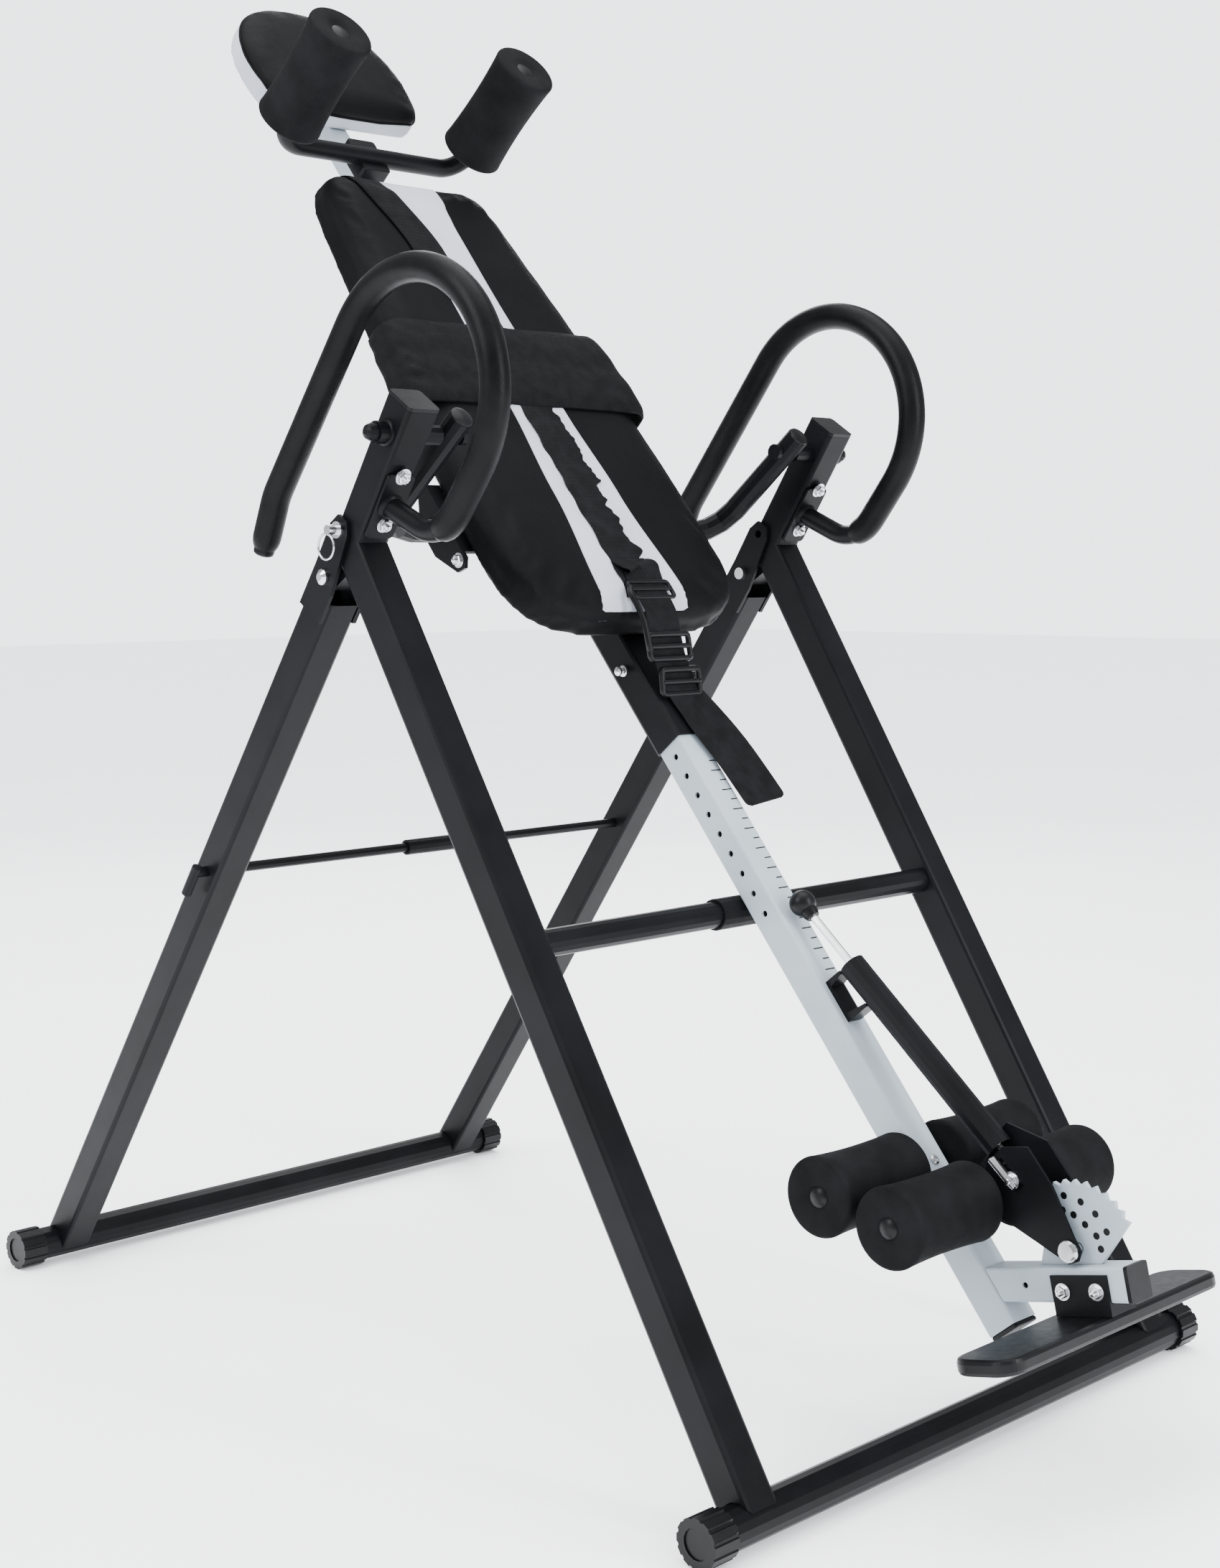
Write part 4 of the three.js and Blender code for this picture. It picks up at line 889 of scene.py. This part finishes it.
def make_lumbar_pad(find):
    rows = 46
    outer, inner = [], []
    for r in range(rows + 1):
        t = r / rows
        s = PAD_BOTTOM + (PAD_TOP - PAD_BOTTOM) * t
        section = lumbar_section(s, find)
        edge = min(t, 1 - t) * rows
        swell = 1 - (1 - min(edge / 9, 1)) ** 2
        for k, (h, y, out_h, out_y) in enumerate(section):
            share = k / (len(section) - 1)
            middle = math.sin(math.pi * share) ** 0.7
            puff = 0.0022 + swell * (0.0012 + 0.0075 * middle)
            gather = math.exp(-((share - 0.10) / 0.065) ** 2)
            lean = s + (share - 0.13) * 0.3
            wander = 3.4 * noise.noise(Vector((share * 8, s * 26, 0.4)))
            fold = math.sin(lean * 2 * math.pi / FOLD_PITCH + wander)
            fold *= 0.55 + noise.noise(Vector((share * 6, s * 30, 8.3)))
            soft = noise.noise(Vector((share * 14, s * 26, 2.7)))
            lift = puff + gather * (0.0065 * fold + 0.007) * swell + 0.0011 * soft * swell
            quilt = math.cos((s - PAD_BOTTOM) * 2 * math.pi / QUILT_PITCH)
            lift += 0.0008 * quilt * swell * (1 - gather)
            lift = max(lift, 0.0008)
            stray = 0.0018 * noise.noise(Vector((share * 11, t * 3, 5.1))) * (1 - swell)
            outer.append(on_bed(h + out_h * lift, y + out_y * min(lift, 0.006), s + stray))
            inner.append(on_bed(h - out_h * 0.0006, y - out_y * 0.0006, s + stray))
    across = len(section)
    shell = outer + inner
    start = len(outer)
    faces = []
    for r in range(rows):
        for c in range(across - 1):
            a, b = r * across + c, r * across + c + 1
            d, e = a + across, b + across
            faces.append((a, b, e, d))
            faces.append((start + d, start + e, start + b, start + a))
    for c in range(across - 1):
        top = rows * across + c
        faces.append((c, c + 1, start + c + 1, start + c))
        faces.append((top, top + 1, start + top + 1, start + top))
    for r in range(rows):
        a, d = r * across, (r + 1) * across
        faces.append((a, d, start + d, start + a))
        a, d = a + across - 1, d + across - 1
        faces.append((a, d, start + d, start + a))
    pad = piece("lumbar_support", shell, faces, PAD_CLOTH, "bed", "leatherette", 180)
    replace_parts(pad, "lumbar_pad")
    knob_place = on_bed(-0.099, -0.1655, 0.146)
    knob = lathe([
        (0, -0.004), (0.010, -0.004), (0.0112, 0.001), (0.0112, 0.006), (0.0098, 0.0085),
        (0.006, 0.009), (0.0048, 0.0075), (0, 0.0072),
    ], knob_place, (0, -1, 0), 36)
    piece("support_knob", *knob, PLASTIC, "bed", "plastic")


# ---- strap --------------------------------------------------------------------------------
STRAP_HALF = 0.0235


def ribbon(name, line, halves, thickness, ragged=0.0):
    """Webbing along a line of (h, y, s). Its edges can wave, the left one more."""
    vertices = []
    places = [Vector(p) for p in line]
    if not isinstance(halves, list):
        halves = [halves] * len(places)
    for i, (p, half) in enumerate(zip(places, halves)):
        ahead = places[min(i + 1, len(places) - 1)] - places[max(i - 1, 0)]
        face = Vector((ahead.z, 0, -ahead.x)).normalized()
        if face.x < 0:
            face = -face
        sideways = face.cross(ahead).normalized()
        if sideways.y < 0:
            sideways = -sideways
        notch = noise.noise(Vector((p.z * 55, 0.3, 1.9)))
        notch += 0.5 * noise.noise(Vector((p.z * 150, 6.1, 2.2)))
        left = half + ragged * (0.3 + notch)
        right = half + ragged * 0.35 * noise.noise(Vector((p.z * 48, 4.3, 7.9)))
        swell = 1.0 + 0.2 * math.sin(i * 0.35)
        corners = (
            (-right, 0.5), (-right + 0.001, 1.0), (0, swell), (left - 0.001, 1.0),
            (left, 0.5), (left - 0.001, 0.0), (0, 0.0), (-right + 0.001, 0.0),
        )
        for across, up in corners:
            vertices.append(on_bed(*(p + face * thickness * up + sideways * across)))
    return piece(name, vertices, ring_faces(len(places), 8), WEBBING, "bed", "webbing", 50)


def smooth_line(points, count):
    """A Catmull-Rom curve through a few points."""
    ends = [points[0]] + list(points) + [points[-1]]
    line = []
    spans = len(points) - 1
    for i in range(count + 1):
        t = i / count * spans
        k = min(int(t), spans - 1)
        t -= k
        a, b, c, d = (Vector(ends[k + j]) for j in range(4))
        curve = 2 * b + (c - a) * t + (2 * a - 5 * b + 4 * c - d) * t ** 2
        line.append(0.5 * (curve + (3 * b - a - 3 * c + d) * t ** 3))
    return line


def slide_buckle(name, h, y, s, width, height, lean=0.0, thick=0.0024):
    """A moulded slide: a rounded frame and a middle bar."""
    rotate = Matrix.Rotation(lean, 3, "Y")
    outline = rounded_rectangle(width, height, 0.004)
    loop = [Vector((h, y, s)) + rotate @ Vector((0, u, v)) for u, v in outline]
    loop = part_of_path(loop + loop[:1], 0, 1, 90)
    rim = closed_tube([on_bed(*p) for p in loop], thick, 12)
    ends = [Vector((h, y, s)) + rotate @ Vector((0.001, side * width / 2, 0)) for side in (-1, 1)]
    bar = sweep([on_bed(*p) for p in part_of_path(ends, 0, 1, 8)], thick * 0.9, 12)
    return piece(name, *joined(rim, bar), PLASTIC, "bed", "plastic", 60)


def make_strap(find):
    upper = []
    start_s, end_s = 0.236, 0.487
    for i in range(61):
        s = start_s + (end_s - start_s) * i / 60
        y = interpolated(UPPER_STRAP_Y, s)
        upper.append((s, y - STRAP_HALF, y + STRAP_HALF))
    sewn_panel("upper_strap", upper, find, WEBBING, "webbing", lift=0.0022, columns=8, sunk=-0.0017)

    line = []
    start_s, end_s = 0.130, -0.14
    middle_y = -0.008
    for i in range(111):
        s = start_s - (start_s - end_s) * i / 110
        line.append((find(middle_y, s) + 0.0014 + 0.0005 * math.sin(s * 90), middle_y, s))
    lower = ribbon("lower_strap", line, STRAP_HALF - 0.001, 0.0018, ragged=0.011)
    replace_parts(lower, "strap")
    face = find(0, -0.13)
    fold = [
        (face + 0.0035, -0.004, -0.092), (face + 0.0075, -0.002, -0.101), (face + 0.0105, 0.002, -0.108),
        (face + 0.0085, 0.003, -0.114), (face + 0.006, 0.003, -0.125), (face + 0.0055, 0.003, -0.137),
    ]
    ribbon("strap_fold", smooth_line(fold, 30), 0.027, 0.0016)
    tube_front = BOOM_H + 0.0205
    tail = [
        (face + 0.006, 0.002, -0.134), (face + 0.0055, 0.0, -0.165), (face - 0.004, -0.001, -0.188),
        (face - 0.019, 0.004, -0.212), (tube_front + 0.006, 0.016, -0.238),
        (tube_front + 0.0022, 0.028, -0.27), (tube_front + 0.0016, 0.041, -0.32),
        (tube_front + 0.0016, 0.049, -0.384),
    ]
    tail_line = smooth_line(tail, 110)
    tail_corner_r = 0.007
    halves = []
    for i in range(len(tail_line)):
        spread = interpolated([(55, STRAP_HALF), (90, 0.033)], i)
        left = (tail_line[-1] - tail_line[i]).length
        corner = max(0.0, 1 - left / tail_corner_r)
        halves.append(spread - tail_corner_r * (1 - math.sqrt(1 - corner * corner)))
    ribbon("strap_tail", tail_line, halves, 0.0018)
    first = slide_buckle("slide_upper", face + 0.0075, 0.003, -0.136, 0.060, 0.021)
    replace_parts(first, "strap_buckle")
    slide_buckle("slide_middle", face - 0.008, 0.001, -0.2, 0.060, 0.026, lean=0.5, thick=0.0033)
    slide_buckle("slide_lower", tube_front + 0.0115, 0.013, -0.232, 0.056, 0.026, lean=0.6, thick=0.0033)
    arm = smooth_line([
        (face + 0.009, -0.028, -0.134), (face + 0.011, -0.035, -0.145), (face + 0.009, -0.033, -0.16),
        (face + 0.004, -0.031, -0.178), (face - 0.004, -0.031, -0.196), (face - 0.009, -0.029, -0.205),
    ], 40)
    rod = sweep([on_bed(*p) for p in arm], 0.0032, 14)
    piece("buckle_arm", *rod, PLASTIC, "bed", "plastic", 60)


# ---- foot end -----------------------------------------------------------------------------
CLAMP_SIDE_Y = 0.0176
RELEASE_PIN_REACH = 0.082


def make_bed_details():
    """The height tube's marks and end plug, and the bolts, caps and washers of the bed and its clamp."""
    mark_start, mark_pitch, mark_count, mark_half = -0.312, 0.0122, 22, 0.0006
    mark_edge = 0.0145
    for i in range(1, mark_count + 1):
        s = mark_start - mark_pitch * i
        across = (0.009 if i % 2 else 0.014) / 2
        mark = plate(
            [(-across, -mark_half), (across, -mark_half), (across, mark_half), (-across, mark_half)],
            LEFTWARD, BED_UP, on_bed(BOOM_H + 0.0176, mark_edge - across, s), 0.0004, 0.0001,
        )
        piece(f"length_mark_{i}", *mark, MARK_INK_AND_HOLE_SHADE, "leg_slide", "plastic")
    plug = plate(
        rounded_rectangle(0.034, 0.034, 0.003), BED_OUT, LEFTWARD,
        on_bed(BOOM_H, 0, -0.9655), 0.0045, 0.001,
    )
    piece("tube_end_plug", *plug, PLASTIC, "leg_slide", "plastic")
    hanger_y, board_bolt_y, arm_end_y = 0.1782, 0.146, 0.25
    bolt_size, board_bolt_size = 0.0052, 0.0045
    for name, hand in SIDES.items():
        place = on_bed(-0.131, hand * hanger_y, -0.049)
        bolt(f"hanger_bolt_{name}", place, (0, hand, 0), bolt_size, "bed")
        for label, s in (("low", -0.026), ("high", 0.03)):
            place = on_bed(BOARD_BACK - 0.0043, hand * board_bolt_y, s)
            bolt(f"board_bolt_{label}_{name}", place, -BED_OUT, board_bolt_size, "bed")
        end = on_bed(0.0265, hand * arm_end_y, 0)
        cap = lathe([(0, 0.003), (0.008, 0.0027), (0.0118, 0.001), (0.0122, -0.0004)], end, BED_OUT, 32)
        piece(f"arm_cap_{name}", *cap, PLASTIC, "bed", "plastic")
    low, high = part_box("foot_plate_bracket")
    middle = (low + high) / 2
    bracket_rise, bracket_run = 0.0317, 0.1365
    slope = math.atan2(bracket_rise, bracket_run)
    along = Vector((math.cos(slope), 0, math.sin(slope)))
    for name, hand in SIDES.items():
        for label, reach in (("rear", -0.019), ("front", 0.017)):
            place = Vector((middle.x, high.y * hand, middle.z + 0.004)) + along * reach
            bolt(f"bracket_bolt_{label}_{name}", place, (0, hand, 0), bolt_size, "leg_slide")
    pivot = centre("clamp_pivot_bolt")
    for name, hand in SIDES.items():
        place = Vector((pivot.x, hand * CLAMP_SIDE_Y, pivot.z))
        collar = lathe([
            (0, 0), (0.0098, 0), (0.0104, 0.0008), (0.0104, 0.0022), (0.0096, 0.003), (0, 0.003),
        ], place, (0, hand, 0), 36)
        piece(f"clamp_washer_{name}", *collar, CHROME, "ankle_clamp", "chrome")


# Each hole's degrees round the clamp's pivot, and how far from the pivot it is.
SECTOR_HOLES = [
    (110, 0.048), (88, 0.043), (64, 0.039), (36, 0.036), (119, 0.036), (101, 0.030), (74, 0.024),
    (39, 0.024), (10, 0.024),
]


def make_height_pin():
    """The spring pin at the side of the boom: a collar, a thin stem and a small pull."""
    middle = centre("height_pin")
    place = Vector((middle.x, 0, middle.z))
    stem = lathe([
        (0, 0.0186), (0.0038, 0.0186), (0.0038, 0.0204), (0.006, 0.0204), (0.006, 0.0235),
        (0.0026, 0.0245), (0.0024, 0.0275), (0.0046, 0.0285), (0.0048, 0.031), (0.003, 0.0325),
        (0, 0.0328),
    ], place, -LEFTWARD, 28)
    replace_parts(piece("height_pull", *stem, CHROME, "height_pull_pin", "chrome", 40), "height_pin")


def make_clamp_details():
    """Dark discs of painted shade in the toothed plate's holes, the release pin's bolts and links, and a
    screw.
    """
    pivot = centre("clamp_pivot_bolt")
    disc_r, disc_half = 0.0034, 0.0026
    # Each disc is painted shade: dark plastic filling the hole where only the shadow through it is seen.
    for i, (degrees, reach) in enumerate(SECTOR_HOLES):
        angle = math.radians(degrees)
        place = Vector((pivot.x + reach * math.cos(angle), 0, pivot.z + reach * math.sin(angle)))
        disc = lathe([
            (0, -disc_half), (disc_r, -disc_half), (disc_r, disc_half), (0, disc_half),
        ], place, LEFTWARD, 20)
        piece(f"sector_hole_shade_{i}", *disc, MARK_INK_AND_HOLE_SHADE, "leg_slide", "plastic")
    knob = centre("ball_knob")
    along = Vector((knob.x - pivot.x, 0, knob.z - pivot.z)).normalized()
    for name, hand in SIDES.items():
        place = Vector((pivot.x, 0, pivot.z)) + along * RELEASE_PIN_REACH
        place.y = hand * CLAMP_SIDE_Y
        bolt(f"release_pin_{name}", place, (0, hand, 0), 0.0056, "clamp_release")
        end = place + Vector((0, hand * 0.004, 0))
        rod = sweep([end - along * 0.008, end, end + along * 0.026, end + along * 0.027],
                    [0.003, 0.0042, 0.0042, 0.003], 20)
        piece(f"release_link_{name}", *rod, CHROME, "clamp_release", "chrome")
    screw = on_bed(BOOM_H + 0.0177, 0, -0.7955)
    head = lathe([
        (0, 0), (0.0052, 0), (0.0052, 0.0012), (0.0036, 0.0026), (0.0022, 0.0026), (0.002, 0.0016),
        (0, 0.0016),
    ], screw, BED_OUT, 28)
    piece("tube_screw", *head, CHROME, "leg_slide", "chrome")


def make_lever_knob():
    knob = centre("ball_knob")
    pivot = centre("clamp_pivot_bolt")
    pivot.y = 0
    knob.y = 0
    along = (knob - pivot).normalized()
    neck = lathe([
        (0.0048, -0.019), (0.0066, -0.019), (0.0082, -0.015), (0.0088, -0.011), (0.0048, -0.011),
    ], knob, along, 32)
    ball = []
    radius = 0.0135
    steps = 20
    for i in range(steps + 1):
        angle = math.pi * i / steps
        ball.append((radius * math.sin(angle), -radius * math.cos(angle)))
    shape = joined(lathe(ball, knob, along, 40), neck)
    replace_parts(piece("lever_knob", *shape, PLASTIC, "clamp_release", "plastic", 60), "ball_knob")


# ---- build --------------------------------------------------------------------------------
def make_floor():
    bpy.ops.mesh.primitive_plane_add(size=40, location=(0, 0, -0.0006))
    floor = bpy.context.object
    floor.name = "floor"
    floor.data.materials.append(floor_surface("pale_floor"))


make_studio()
make_floor()
finish_frame()
make_frame_details()
make_shoulder_set()
for axle, body_end in (("rear", "rear_roller"), ("front", "front_roller")):
    for side_name in SIDES:
        make_roller(f"{axle}_roller_{side_name}", f"{side_name}_{body_end}")
cushion_front = make_backrest()
make_headrest()
make_lumbar_pad(cushion_front)
make_strap(cushion_front)
make_bed_details()
make_height_pin()
make_clamp_details()
make_lever_knob()
